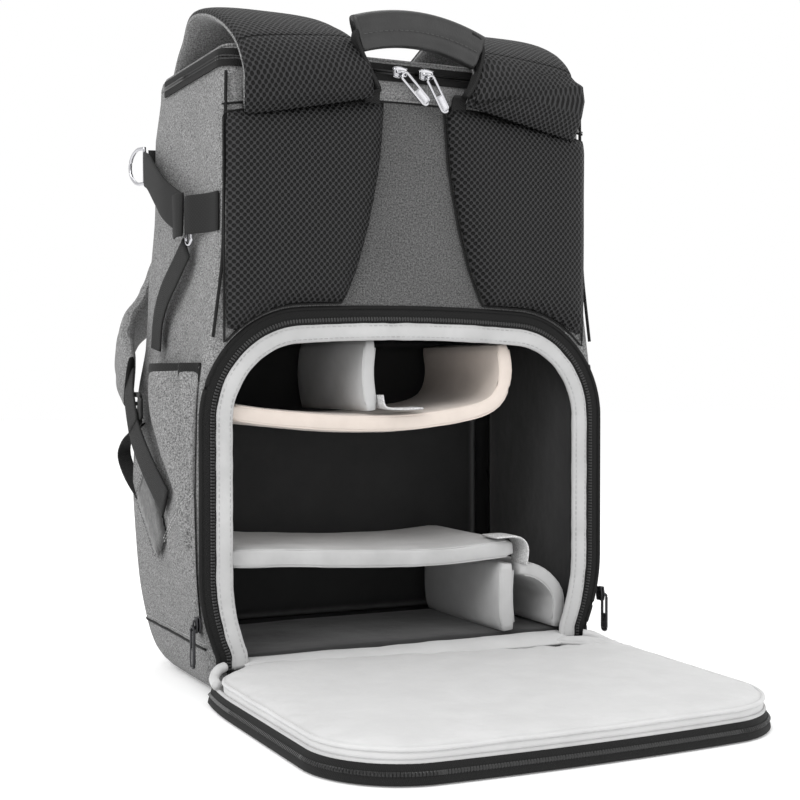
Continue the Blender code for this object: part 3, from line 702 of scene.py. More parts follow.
def make_lid():
    """The padded top lid, softly domed, with a piped seam round its crown."""
    steps = ((0.4370, 0.0), (0.4395, 0.0002), (0.4440, 0.0012), (0.4462, 0.0042), (0.4476, 0.0100),
             (0.4488, 0.018), (0.4497, 0.028), (0.4504, 0.040), (0.4509, 0.053), (0.4512, 0.066))  # fmt: skip
    rows = np.array([shell_ring(z, inset) for z, inset in steps])
    flat = rows.reshape(-1, 3)
    flat[:, 2] += wander(flat, 0.05, 11.0) * 0.0012 * np.clip((flat[:, 2] - 0.436) / 0.006, 0, 1)
    obj = grid("canvas_lid", rows, [CANVAS, SHADE], closed_rows=True)

    def close_crown(shape):
        rim = sorted((v for v in shape.verts if v.is_boundary and v.co.z > 0.44), key=lambda v: v.index)
        shape.faces.new(rim)

    face_out(obj, before=close_crown)
    # The lid's inside faces take the near-black nylon as painted shade.
    settle(obj, "SOLIDIFY", thickness=0.003, offset=-1.0, material_offset=1)
    seam = shell_ring(0.4460, 0.0034)
    piping = tube("lid_piping", evenly(seam, 0.004, True), 0.0011, CANVAS, closed=True)
    ride(piping, "lid", "grey_canvas")
    return ride(obj, "lid", "grey_canvas", "top_lid")


def top_path(z):
    """The zip's line round the top from one side over the back to the other."""
    ring = evenly(plan_outline(z, -0.0012), 0.003, closed=True)
    ring = ring[np.argsort(np.arctan2(ring[:, 0], -ring[:, 1]))]
    return raised(ring[ring[:, 1] < 0.052], z)


def make_top_zip():
    for name, rise, lean, body, node in (
        ("top_zip_tape", -0.0030, 0.0022, "bag", "top_zip_track"),
        ("lid_zip_tape", 0.0032, -0.0022, "lid", "lid_zip_track"),
    ):
        path = top_path(LID_SPLIT + rise)
        ride(ribbon(name, path, UP, 0.0030, 0.0008, TAPE_WEB, steps=12), body, "black_webbing", node)
        edge = path + lean * UP
        out = unit(edge * LEVEL)
        coil(f"{name}_coil", edge + out * 0.0006, out, (0.0011, 0.0014, 0.0012), 0.0006, body)


# ---------------------------------------------------------------- camera compartment


def arch_frames(offset, y, step=0.004):
    """Points along the mouth's edge and the directions towards its middle."""
    path = evenly(mouth_arch(offset), step)
    points = np.stack([path[:, 0], np.full(len(path), y), path[:, 1]], axis=1)
    return points, unit(np.cross(tangents(points), FRONTWARD))


def make_mouth():
    """The zip's tape and coil round the mouth and the padded lip inside it."""
    points, inward = arch_frames(TAPE * 0.5 + 0.0002, BACK_Y + 0.0006)
    tape = ribbon("mouth_zip_tape", points, inward, 0.0062, 0.0011, TAPE_WEB)
    ride(tape, "bag", "black_webbing", "mouth_zip_track")
    points, _ = arch_frames(0.0035, BACK_Y - 0.0010, 0.002)
    coil("mouth_zip_coil", points, -FRONTWARD, (0.0013, 0.0025, 0.0014), 0.0009)
    points, _ = arch_frames(TAPE - 0.0004, BACK_Y - 0.0002)
    ride(tube("mouth_binding", points, 0.0015, TAPE_WEB), "bag", "black_webbing")
    points, inward = arch_frames(-LIP / 2 - 0.0006, BACK_Y + 0.0014, 0.0025)
    swell = wander(points, 0.011, 21.0)
    ring = np.array(oval(LIP / 2 + 0.0020, 0.0026))

    def section(share):
        local = swell[int(round(share * (len(points) - 1)))]
        return ring * np.array([1.0 + 0.05 * local, 1.0 + 0.22 * local])

    lip = sweep("mouth_lip_roll", points, inward, section, PALE)
    ride(lip, "bag", "pale_lining", "mouth_lip")
    for label, offset in (("outer", -0.0012), ("inner", -0.0092)):
        line, _ = arch_frames(offset, BACK_Y - 0.0008, 0.003)
        name, size = f"mouth_lip_stitches_{label}", (0.0026, 0.0005, 0.0006)
        stitches(name, line, -FRONTWARD, "bag", "pale_lining", THREAD_GREY, size, 0.0014)


def soft_board(name, low, high, crown_axis, crown, surface, seed):
    """A foam board in cloth: rounded edges and a shallow swell on its open face."""
    low, high = np.array(low, float), np.array(high, float)
    first, second = (a for a in range(3) if a != crown_axis)
    size = high - low
    steps = [max(int(size[a] / 0.010), 4) for a in (first, second)]
    s, t = np.meshgrid(*(np.linspace(0, 1, n + 1) for n in steps), indexing="ij")
    dome = np.sqrt(np.clip(np.sin(math.pi * s) * np.sin(math.pi * t), 0, None))
    dome[[0, -1]] = 0.0
    dome[:, [0, -1]] = 0.0
    below = np.tile(low, (*s.shape, 1))
    below[..., first] += size[first] * s
    below[..., second] += size[second] * t
    above = below.copy()
    closing = size[crown_axis] * 0.5 * (1 - dome**0.3)
    below[..., crown_axis] += closing
    above[..., crown_axis] = high[crown_axis] - closing
    waves = [noise.noise(Vector(p) / 0.04 + Vector((seed, 0, 0))) for p in above.reshape(-1, 3)]
    swell = (crown + np.reshape(waves, s.shape) * 0.0012) * dome
    (above if crown > 0 else below)[..., crown_axis] += swell
    width, count = s.shape[1], s.size
    faces = []
    for a in (i * width + j for i in range(steps[0]) for j in range(steps[1])):
        faces.append((a, a + 1, a + width + 1, a + width))
        faces.append((count + a, count + a + width, count + a + width + 1, count + a + 1))
    obj = add_mesh(name, np.vstack([above.reshape(-1, 3), below.reshape(-1, 3)]), faces, surface)
    face_out(obj, before=lambda shape: bmesh.ops.remove_doubles(shape, verts=shape.verts, dist=0.00002))
    return obj


def make_lining():
    """The room's boards in near-black painted shade, each in its CAD box but with the floor set lower."""
    for i, (name, node, axis, crown) in enumerate((
        ("lining_floor_board", "lining_floor", 2, 0.0010),
        ("lining_ceiling_board", "lining_ceiling", 2, -0.0010),
        ("lining_left_board", "lining_left_wall", 0, 0.0006),
        ("lining_right_board", "lining_right_wall", 0, -0.0006),
        ("lining_front_board", "lining_front_wall", 1, -0.0012),
    )):  # fmt: skip
        low, high = (np.array(corner, float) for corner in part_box(node))
        if node != "lining_ceiling":
            low[2] -= FLOOR_DROP
        if node == "lining_floor":
            high[2] -= FLOOR_DROP
        ride(soft_board(name, low, high, axis, crown, SHADE, i * 5.0), "bag", "pale_lining", node)


DIVIDERS = {
    "upper_shelf": (
        [(-0.1366, 0.196), (-0.10, 0.191), (-0.05, 0.187), (0.0, 0.187), (0.045, 0.192),
         (0.068, 0.198), (0.079, 0.208), (0.083, 0.225), (0.080, 0.2445)],
        0.014, BEIGE, "beige_lining",
    ),
    "upper_upright": ([(-0.028, 0.1962), (-0.031, 0.222), (-0.029, 0.2465)], 0.012, PALE, "pale_lining"),
    "lower_shelf": (
        [(-0.1376, 0.0950), (-0.09, 0.0930), (-0.03, 0.0890), (0.03, 0.0875), (0.089, 0.0905)],
        0.016, PALE, "pale_lining",
    ),
    "lower_upright": ([(0.0855, 0.0288), (0.0835, 0.052), (0.0845, 0.0790)], 0.016, PALE, "pale_lining"),
    "corner_divider": (
        [(0.0960, 0.0745), (0.108, 0.0725), (0.1205, 0.0650), (0.1300, 0.0515), (0.1285, 0.0288)],
        0.013, PALE, "pale_lining",
    ),
}  # fmt: skip


def make_dividers():
    """Padded dividers with rounded, piped front edges and a seam along each."""
    front, back = ROOM_BACK - 0.0005, ROOM_FRONT - 0.006
    middle, half = (front + back) / 2, (back - front) / 2
    for k, (name, (path, thickness, surface, slot)) in enumerate(DIVIDERS.items()):
        line = evenly(smooth(path, 6), 0.005)
        points = np.insert(line, 1, middle, axis=1)
        last = len(line) - 1
        ring = np.array(oval(half, thickness / 2, 7.0, 64))
        sag = wander(points, 0.03, 31.0 + k)

        def section(share, ring=ring, sag=sag, last=last):
            i = int(round(share * last))
            pinch = 0.72 + 0.28 * min(min(i, last - i) / 2.0, 1.0) ** 0.5
            return ring * np.array([1.0, pinch * (0.97 + 0.05 * sag[i])])

        board = sweep(f"{name}_pad", points, FRONTWARD, section, surface)
        flat = points_of(board)
        flat[:, 2] += wander(flat, 0.02, 41.0 + k) * 0.0005
        set_points(board, flat)
        ride(board, name, slot, name)
        edge = points - FRONTWARD * (half + 0.0002)
        normal = np.cross(tangents(edge), FRONTWARD)
        for label, way in (("a", -1.0), ("b", 1.0)):
            seam = edge[1:-1] + normal[1:-1] * way * thickness * 0.36 + FRONTWARD * 0.0014
            ride(tube(f"{name}_seam_{label}", seam, 0.0006, surface, steps=6), name, slot)


def make_tabs():
    """The hook-and-loop ends that hold the dividers, folded against walls and boards."""
    for name, label, path in (
        ("upper_shelf", "end", [(-0.1372, 0.197), (-0.1378, 0.190), (-0.1378, 0.162)]),
        ("lower_shelf", "end", [(-0.1386, 0.096), (-0.1386, 0.088), (-0.1366, 0.062)]),
        ("upper_upright", "foot", [(-0.0225, 0.207), (-0.02, 0.1985), (-0.008, 0.1968), (0.01, 0.1972)]),
        ("lower_shelf", "fold", [(0.0720, 0.0998), (0.0905, 0.0995), (0.0985, 0.0920), (0.0975, 0.0780)]),
    ):
        line = evenly(smooth([(x, -0.0635, z) for x, z in path], 6), 0.003)
        tab = ribbon(f"{name}_tab_{label}", line, FRONTWARD, 0.0120, 0.0009, LOOP, 5.0, 20)
        ride(tab, name, "pale_lining")


# ---------------------------------------------------------------- flap


def flap_outline(offset, low=HINGE_Z + 0.0006):
    """The open flap's edge, offset from its lining's, from its left hinge end to its right."""
    arch = mouth_arch(offset + 0.0015, low, corner=0.042, draw=0.030)
    reach = np.clip((arch[:, 1] - HINGE_Z) / 0.23, 0, 1)
    arch[:, 0] *= np.where(arch[:, 0] > 0, 1 - 0.06 * reach, 1.0)
    return np.stack([arch[:, 0], HINGE_Y - (arch[:, 1] - HINGE_Z)], axis=1)


def box_cushion(name, outline, walls, top, surface, cell=0.004):
    """A cushion with a boxed side: walls lists (height, outward offset) from its lower edge to
    its upper, and top(points, depth) gives the height of its face."""
    outline = evenly(outline, 0.002, closed=True)
    uu, vv, keep = cells_inside(outline, cell, 0.45)
    count = len(outline)
    flat = np.vstack([outline, np.stack([uu[keep], vv[keep]], axis=1)])
    ends = [(i, (i + 1) % count) for i in range(count)]
    places, _, triangles = delaunay_2d_cdt([Vector(p) for p in flat], ends, [], 1, 1e-7)[:3]
    places = np.array([tuple(p) for p in places])
    heights = top(places, edge_distance(outline, places[:, 0], places[:, 1]))
    vertices = [(u, v, h) for (u, v), h in zip(places, heights)]
    faces = [tuple(f) for f in triangles]
    away = tangents(outline, closed=True)
    away = np.stack([away[:, 1], -away[:, 0]], axis=1)
    if inside(outline, *(outline[0] + away[0] * 0.004)[:, None])[0]:
        away = -away
    rings = [list(range(count))]
    for height, offset in walls[::-1]:
        start = len(vertices)
        vertices += [(*(p + a * offset), height) for p, a in zip(outline, away)]
        rings.append(list(range(start, start + count)))
    for upper, lower in zip(rings, rings[1:]):
        faces += [(upper[i], upper[k], lower[k], lower[i]) for i, k in ends]
    faces.append(tuple(rings[-1]))
    return face_out(add_mesh(name, vertices, faces, surface))


def cushion_outline(offset):
    """The padded lining's edge: the flap's own edge, with its two corners at the hinge rounded off."""
    edge = flap_outline(offset)
    edge = edge[edge[:, 1] < -0.1240]
    half, start = abs(edge[0, 0]), edge[0, 1]
    reach, depth = 0.044, start + 0.0790
    turns = np.radians(np.linspace(8, 90, 12))
    left = [(-half + reach * (1 - math.cos(a)), start - depth * math.sin(a)) for a in turns]
    right = [(-x, y) for x, y in left[::-1]]
    return np.vstack([edge, right, left[::-1]])


FLAP_SHEETS = (
    ("flap_lining_bridge", 0.1290, 71, 0.0005, WHITE, 0.0018, "pale_lining",
     ((-0.0665, 0.0246), (-0.0740, 0.0240), (-0.0800, 0.0226), (-0.0840, 0.0208), (-0.0880, 0.0185)),
     (0.0, -0.0775, 0.0232), (0.0, -0.0880, 0.0185)),
    ("flap_hinge_cloth", 0.1420, 61, 0.0, CANVAS_BLACK, 0.0014, "grey_canvas",
     ((-0.0792, 0.0200), (-0.0812, 0.0180), (-0.0836, 0.0130), (-0.0850, 0.0080), (-0.0862, 0.0046)),
     (0.0, -0.0800, 0.0195), (0.0, -0.0860, 0.0060)),
)  # fmt: skip
FLAP_CORNER_RUN = (
    (0.1440, -0.0805, 0.0235), (0.1500, -0.0850, 0.0225), (0.1555, -0.0930, 0.0190),
    (0.1575, -0.1050, 0.0168),
)  # fmt: skip


def make_flap():
    """The lid of the compartment lying open: black cover, zip tape, piping and plump lining."""
    cover_outline = flap_outline(TAPE - 0.001)
    cover = pad_from_outline(
        "flap_cover_cloth", cover_outline, 0.0004, 0.0052, 0.0, 0.003, level, CANVAS_BLACK, 0.005
    )
    ride(cover, "flap", "grey_canvas", "flap_cover")
    points = raised(evenly(flap_outline(TAPE - 0.0022), 0.004), 0.0072)
    leaning = UP + unit(np.cross(tangents(points), -UP)) * 0.32
    tape = ribbon("flap_zip_tape", points, leaning, 0.0066, 0.0011, TAPE_WEB)
    ride(tape, "flap", "black_webbing", "flap_zip_track")
    points = raised(evenly(flap_outline(TAPE - 0.0010), 0.002), 0.0068)
    outward = -unit(np.cross(tangents(points), -UP))
    coil("flap_zip_coil", points, outward, (0.0013, 0.0026, 0.0014), 0.0009, "flap")
    outline = cushion_outline(0.0068)
    far = outline[:, 1].min()

    def face(places, depth):
        reach = np.clip((HINGE_Y - places[:, 1]) / (HINGE_Y - far), 0, 1)
        spread = raised(places, 0.0)
        swell = 0.0038 * (1 - np.exp(-depth / 0.006)) + 0.0024 * np.clip(depth / 0.05, 0, 1) ** 0.7
        puckers = wander(spread, 0.010, 57.0) * 0.0018 * np.exp(-((depth - 0.006) / 0.007) ** 2)
        soft = wander(spread, 0.07, 51.0) * 0.0014 * np.clip(depth / 0.03, 0, 1)
        crest = 0.0014 * np.exp(-((places[:, 1] - HINGE_Y) / 0.035) ** 2)
        return 0.0202 + crest + (swell + puckers + soft) * (1.0 - 0.30 * reach)

    walls = ((0.0110, -0.0004), (0.0135, 0.0008), (0.0165, 0.0010), (0.0192, 0.0002))
    pad = box_cushion("flap_cushion_pad", outline, walls, face, WHITE)
    ride(pad, "flap", "pale_lining", "flap_cushion")
    ring = raised(evenly(cushion_outline(0.0076), 0.004, closed=True), 0.0)
    ring[:, 2] = 0.0196 + wander(ring, 0.03, 63.0) * 0.0004
    ride(tube("flap_piping_upper", ring, 0.0015, WHITE, closed=True), "flap", "pale_lining")
    lower = raised(evenly(flap_outline(0.0082), 0.004), 0.0128)
    ride(tube("flap_piping_lower", lower, 0.0013, PALE), "flap", "pale_lining")
    for side, s in SIDES:
        corner = mirrored(s, FLAP_CORNER_RUN)
        roll = tube(f"flap_corner_roll_{side}", evenly(smooth(corner, 5), 0.002), 0.0034, WHITE, steps=12)
        bend(roll, "flap", "pale_lining", corner[0], (s * 0.1520, -0.0880, 0.0210))
    for name, half, count, ruffle, surface, thickness, slot, run, start, end in FLAP_SHEETS:
        rows = []
        for y, z in smooth(run, 4):
            across = np.linspace(-half, half, count)
            waves = [noise.noise(Vector((x / 0.02, y / 0.02, 3.0))) * ruffle for x in across]
            rows.append([(x, y, z + wave) for x, wave in zip(across, waves)])
        sheet = grid(name, rows, surface)
        thicken(sheet, thickness)
        bend(sheet, "flap", slot, start, end)


def level(u, v, height):
    return (u, v, height)


def upright(u, v, height):
    return (u, -height, v)


# ---------------------------------------------------------------- wearer's side


def make_back_pads():
    """The two air-mesh pads that lie against the wearer's back."""
    edge = evenly(mouth_arch(TAPE + 0.0030), 0.0015)
    shares = np.linspace(0, 1, 14)
    for side, s in SIDES:
        reach = edge[:, 0] * s
        bottom = edge[(edge[:, 1] > 0.20) & (reach > 0.0560) & (reach < 0.1435)]
        bottom = bottom[np.argsort(bottom[:, 0] * s)][::3]
        reach, rise = 0.1435 + (0.0245 - 0.1435) * shares, 0.4150 - 0.0165 * (1 - shares) ** 1.6
        top = np.stack([s * reach, rise], axis=1)
        inner = [(0.0275, 0.375), (0.0315, 0.352), (0.0370, 0.326), (0.0450, 0.298), (0.0530, 0.279)]
        outline = np.vstack([bottom, top, np.array(inner) * (s, 1.0)])[:: int(s)]
        name = f"back_pad_{side}"
        foam = f"{name}_foam"
        pad = pad_from_outline(foam, outline, 0.0785, 0.0865, 0.0060, 0.007, upright, MESH_FLAT, 0.0035)
        flat = points_of(pad)
        flat[:, 1] += wander(flat, 0.05, 61.0) * 0.0008
        set_points(pad, flat)
        ride(pad, "bag", "black_air_mesh", name)
        rim = np.insert(evenly(outline, 0.004, closed=True), 1, -0.0795, axis=1)
        ride(tube(f"{name}_piping", rim, 0.0009, WEB, closed=True), "bag", "black_webbing")


STRAP_STATIONS = (
    (0.0835, -0.0875, 0.4070, 0.096, 0),
    (0.0860, -0.0930, 0.4185, 0.095, 0),
    (0.0885, -0.0945, 0.4320, 0.093, 0),
    (0.0915, -0.0845, 0.4490, 0.091, 0),
    (0.0945, -0.0620, 0.4640, 0.089, 0),
    (0.0968, -0.0310, 0.4760, 0.087, 0),
    (0.0975, 0.0020, 0.4800, 0.086, 0),
    (0.0945, 0.0330, 0.4690, 0.083, 0),
    (0.0920, 0.0640, 0.4595, 0.079, 0),
    (0.0900, 0.0930, 0.4400, 0.075, 0),
    (0.0890, 0.1130, 0.3960, 0.071, 0),
    (0.0940, 0.1240, 0.3450, 0.068, 8),
    (0.1059, 0.1260, 0.3135, 0.063, 18),
    (0.1220, 0.1260, 0.2905, 0.058, 32),
    (0.1365, 0.1240, 0.2740, 0.055, 46),
    (0.1530, 0.1160, 0.2572, 0.052, 60),
    (0.1630, 0.1020, 0.2410, 0.050, 74),
    (0.1670, 0.0840, 0.2280, 0.048, 82),
    (0.1690, 0.0660, 0.2160, 0.046, 84),
)


def strap_line(s):
    """Middle line, width directions and widths of a shoulder strap."""
    stations = smooth(STRAP_STATIONS, STRAP_SPAN)
    path = stations[:, :3] * np.array([s, 1.0, 1.0])
    turn = np.radians(stations[:, 4])
    share = np.linspace(0, len(STRAP_STATIONS) - 1, len(stations))
    slant = np.tan(math.radians(7) * np.clip(1 - share / 4, 0, 1))
    across = np.stack([s * np.cos(turn), -np.sin(turn), -slant], axis=1)
    widths = stations[:, 3]
    if s > 0:
        settled = np.clip(share - 1.5, 0, 1) * np.clip((10 - share) / 2, 0, 1)
        path[:, 0] -= settled * 0.0055
        widths = widths * (1 - 0.08 * settled)
    return path, across, widths


def make_straps():
    """Padded straps: air mesh outside, canvas against the bag and on the lower end."""
    for side, s in SIDES:
        path, across, widths = strap_line(s)
        count = len(path)
        swell = wander(path, 0.06, 71.0 + s)
        along = tangents(path)
        wide = unit(across - along * np.sum(across * along, axis=1, keepdims=True))
        under = np.cross(along, wide) * s
        for part, low, high in (("root", 0, STRAP_CUT), ("pad", STRAP_CUT, count - 1)):

            def place(share, low=low, high=high):
                return low + share * (high - low)

            def section(share, place=place, widths=widths, swell=swell, count=count):
                i = int(round(place(share)))
                end = min(i / 6.0, (count - 1 - i) / 5.0, 1.0)
                thick = (0.0032 + 0.0034 * math.sqrt(end)) * (1 + 0.07 * swell[i])
                return oval(widths[i] / 2, thick, 3.0, 44)

            def is_canvas(around, share, place=place, s=s, count=count):
                return math.sin(2 * math.pi * around) * s > 0.05 or place(share) > 0.66 * count

            name, run = f"strap_{side}_{part}", slice(low, high + 1)
            strap = sweep(name, path[run], across[run], section, [MESH_STRAP, CANVAS], split=is_canvas)
            pieces = [(strap, "black_air_mesh")]
            for label, edge in (("inner", -1.0), ("outer", 1.0)):
                shift = wide * (widths / 2 - 0.0010)[:, None] * edge + under * 0.0012
                line = evenly((path + shift)[max(low, 4) : min(high + 1, count - 2)], 0.004)
                pieces.append((tube(f"{name}_piping_{label}", line, 0.0013, CANVAS), "grey_canvas"))
            for piece, slot in pieces:
                if part == "root":
                    bend(piece, f"strap_{side}", slot, (0.0, -0.0950, 0.4110), (0.0, -0.0950, 0.4400))
                else:
                    ride(piece, f"strap_{side}", slot)
            if part == "pad":
                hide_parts(f"shoulder_strap_{side}")


def flat_band(name, stations, across, width, thickness, surface, step=0.004):
    line = evenly(smooth(stations, 8), step)
    return ribbon(name, line, across, width / 2, thickness / 2, surface, 5.0, 20)


def rounded_frame(width, height, radius):
    points = []
    for (x, y), start in zip(((1, 1), (-1, 1), (-1, -1), (1, -1)), (0, 90, 180, 270)):
        points += arc((x * (width / 2 - radius), y * (height / 2 - radius)), radius, start, start + 90, 6)
    return np.array(points)


TONGUE_RUN = ((0.169, 0.064, 0.220), (0.1718, 0.056, 0.208), (0.1722, 0.050, 0.196), (0.1722, 0.043, 0.183))
STRAP_WEB_RUN = (
    (0.1712, 0.0480, 0.1910), (0.1716, 0.0420, 0.1800), (0.1706, 0.0310, 0.1680), (0.1690, 0.0170, 0.1550),
    (0.1668, 0.0020, 0.1420), (0.1645, -0.0130, 0.1300),
)  # fmt: skip
LOOSE_LOOP_RUN = (
    (0.1640, 0.0560, 0.1830), (0.1660, 0.0800, 0.1730), (0.1650, 0.0960, 0.1600), (0.1610, 0.0920, 0.1440),
    (0.1560, 0.0740, 0.1280),
)  # fmt: skip
PATCH_OUTLINE = (
    (0.070, 0.129), (0.044, 0.155), (0.026, 0.148), (0.004, 0.122), (-0.008, 0.106), (0.014, 0.086),
)  # fmt: skip


def make_strap_ends():
    """Each strap's adjuster, its webbing down to the bag and the leather patch it is sewn to."""
    for side, s in SIDES:
        body = f"strap_{side}"
        x, y, z = s * 0.1690, 0.0500, 0.1960
        ring = rounded_frame(0.0295, 0.0215, 0.005)
        loop = np.stack([np.full(len(ring), x), y + ring[:, 0], z + ring[:, 1]], axis=1)
        bars = [tube("adjuster_loop", evenly(loop, 0.002, True), 0.0020, PLASTIC, closed=True, steps=10)]
        for rise in (-0.0035, 0.0040):
            bar = [(x, y - 0.0140, z + rise), (x, y, z + rise), (x, y + 0.0140, z + rise)]
            bars.append(tube("adjuster_bar", evenly(bar, 0.004), 0.0016, PLASTIC, steps=10))
        ride(join(f"strap_adjuster_{side}_body", bars), body, "black_plastic", f"strap_adjuster_{side}")
        run = mirrored(s, TONGUE_RUN)
        tongue = flat_band(f"strap_{side}_tongue", run, (0.0, -1.0, 0.5), 0.025, 0.0020, WEB)
        ride(tongue, body, "black_webbing")
        web_name = f"strap_webbing_{side}"
        run = mirrored(s, STRAP_WEB_RUN)
        web = flat_band(f"{web_name}_band", run, (0.0, -0.8, 0.6), 0.025, 0.0018, WEB)
        bend(web, body, "black_webbing", (s * 0.1668, 0.002, 0.142), (s * 0.1714, 0.046, 0.187), web_name)
        run = mirrored(s, LOOSE_LOOP_RUN)
        loose = flat_band(f"{web_name}_loop", run, (0.9, 0.0, 0.45), 0.011, 0.0014, WEB)
        bend(loose, body, "black_webbing", (s * 0.1560, 0.074, 0.128), (s * 0.1640, 0.056, 0.183))
        spots = evenly(PATCH_OUTLINE, 0.003, closed=True)
        patch = f"strap_patch_{side}"

        def outward(u, v, height, s=s):
            return (s * height, u, v)

        leaf = pad_from_outline(
            f"{patch}_leather", spots, 0.1612, 0.1636, 0.0004, 0.0012, outward, LEATHER, 0.003
        )
        ride(leaf, "bag", "black_leather", patch)
        inset = spots + unit(spots.mean(axis=0) - spots) * 0.0028
        line = np.stack([np.full(len(inset), s * 0.1642), inset[:, 0], inset[:, 1]], axis=1)
        line = np.vstack([line, line[:1]])
        stitches(f"{patch}_stitches", line, (s, 0.0, 0.0), "bag", "black_leather", THREAD_DARK)


# ---------------------------------------------------------------- handle


def make_handle():
    """A leather grip folded round a core, with a stitched ridge, on two webbing feet."""
    y, shift = -0.0940, -0.0030
    share = np.linspace(-1, 1, 41)
    rise = 0.4645 - 0.0090 * share**2 - 0.0020 * share
    path = np.stack([0.0480 * share - 0.0038, np.full(41, y), rise], axis=1)

    def section(_):
        ring = np.array(oval(0.0056, 0.0130, 3.2, 72))
        ridge = np.exp(-(((ring[:, 1] - 0.0012) / 0.0011) ** 2)) * 0.0022
        groove = np.exp(-(((ring[:, 1] + 0.0022) / 0.0016) ** 2)) * 0.0007
        ring[:, 0] += np.sign(ring[:, 0]) * (ridge - groove)
        return ring

    grip = sweep("handle_grip_leather", path, FRONTWARD, section, LEATHER)
    ride(grip, "handle", "black_leather", "handle_grip")
    line = path[2:-2] + np.array([0.0, -0.0056, -0.0020])
    size = (0.0026, 0.0006, 0.0008)
    stitches("handle_stitches", line, -FRONTWARD, "handle", "black_leather", THREAD_DARK, size, 0.0014)
    feet, ends = [], []
    for _, s in SIDES:
        run = [
            (s * 0.0400 + shift, y, 0.4660), (s * 0.0470 + shift, y, 0.4620), (s * 0.0495 + shift, y, 0.4540),
            (s * 0.0460 + shift / 2, y + 0.0005, 0.4420), (s * 0.0400, y + 0.0010, 0.4290),
            (s * 0.0350, y + 0.0020, 0.4215),
        ]  # fmt: skip
        feet.append(flat_band("foot", run, (0.0, 1.0, 0.0), 0.0105, 0.0030, WEB, 0.003))
        sewn = (
            (0.0350, -0.0870, 0.4225), (0.0350, -0.0846, 0.4215), (0.0348, -0.0832, 0.4180),
            (0.0346, -0.0815, 0.4090),
        )  # fmt: skip
        ends.append(flat_band("foot_end", mirrored(s, sewn), (1.0, 0.0, 0.0), 0.0120, 0.0026, WEB, 0.003))
    ride(join("handle_webbing_feet", feet), "handle", "black_webbing", "handle_webbing")
    ride(join("handle_webbing_sewn_ends", ends), "bag", "black_webbing")


# ---------------------------------------------------------------- zip sliders and pulls


def make_pull(body, place, down, out, surface):
    """A slotted metal pull: a rounded loop that hangs from its eye."""
    length, width = 0.030, 0.0080
    ring = rounded_frame(width - 0.0022, length - 0.0022, (width - 0.0022) * 0.42)
    down, out = unit(np.array(down, float)), unit(np.array(out, float))
    side = np.cross(down, out)
    start = np.array(place, float)
    loop = np.array([start + side * u + down * (length / 2 - 0.0003 - v) for u, v in ring])
    rim = tube(f"{body}_rim", evenly(loop, 0.0012, True), 0.0011, surface, closed=True, steps=10)
    path = evenly([start + down * (length * share) for share in (0.52, 0.74, 0.93)], 0.002)
    plate = ribbon(f"{body}_plate", path, side, width / 2 - 0.0014, 0.0007, surface)
    ride(join(f"{body}_metal", [rim, plate]), body, "polished_steel", body)


def make_slider(body, centre, travel, out, surface):
    """A zip slider: two plates, a bridge for the pull and a rounded nose."""
    centre, travel, out = (np.array(v, float) for v in (centre, travel, out))
    side = np.cross(travel, out)

    def section(share):
        taper = 0.0032 + 0.0010 * math.sin(math.pi * min(share * 1.25, 1.0))
        return oval(taper, 0.0008, 3.5, 14)

    parts = []
    for lift in (-0.0011, 0.0009):
        path = [centre + travel * t + out * lift for t in np.linspace(-0.0052, 0.0052, 9)]
        parts.append(sweep("plate", path, side, section, surface))
    steps = ((-0.0036, 0.0012), (-0.002, 0.0026), (0.002, 0.0026), (0.0036, 0.0012))
    bridge = smooth([centre + travel * a + out * b for a, b in steps], 5)
    parts.append(ribbon("bridge", bridge, side, 0.0012, 0.0006, surface, 3.0, 10))
    ride(join(f"{body}_metal", parts), body, "polished_steel", body)


def make_sliders():
    back = (0, -1, 0)
    for side, x, tilt in (("left", -0.013, 45.0), ("right", 0.008, 30.0)):
        a = math.radians(tilt)
        make_slider(f"top_slider_{side}", (x, -0.0834, LID_SPLIT), (1, 0, 0), back, STEEL)
        down = (math.sin(a), 0, -math.cos(a))
        make_pull(f"top_pull_{side}", (x, -0.0874, LID_SPLIT - 0.001), down, back, STEEL)
    for side, s in SIDES:
        make_slider(f"flap_slider_{side}", (s * 0.1622, -0.0775, 0.053), (0, 0, 1), (s, 0, 0), GUNMETAL)
        make_pull(f"flap_pull_{side}", (s * 0.1654, -0.078, 0.053), (0, 0, -1), (s, 0, 0), GUNMETAL)


# ---------------------------------------------------------------- side fittings


SIDE_STRAP_RUN = (
    (0.1525, 0.0790, 0.3800), (0.1548, 0.060, 0.3745), (0.1575, 0.030, 0.3600), (0.1585, 0.006, 0.3480),
    (0.1565, -0.0225, 0.3360),
)  # fmt: skip
SIDE_TAIL_RUN = (
    (0.1540, -0.0300, 0.3110), (0.1575, -0.0150, 0.2950), (0.1600, 0.0030, 0.2790), (0.1612, 0.0150, 0.2620),
    (0.1618, 0.0190, 0.2400),
)  # fmt: skip
SIDE_ANCHOR_RUN = (
    (0.1455, -0.0740, 0.333), (0.1472, -0.0600, 0.333), (0.1515, -0.0480, 0.333), (0.1552, -0.0400, 0.333),
    (0.1556, -0.0345, 0.333),
)  # fmt: skip
KEEPER_RUN = (
    (0.1560, -0.0060, 0.334), (0.1582, -0.0150, 0.334), (0.1590, -0.0240, 0.334), (0.1572, -0.0315, 0.334),
)  # fmt: skip
DRING_LOOP_RUN = (
    (0.1100, 0.0795, 0.383), (0.1300, 0.0795, 0.383), (0.1430, 0.0785, 0.383), (0.1495, 0.0800, 0.383),
)  # fmt: skip


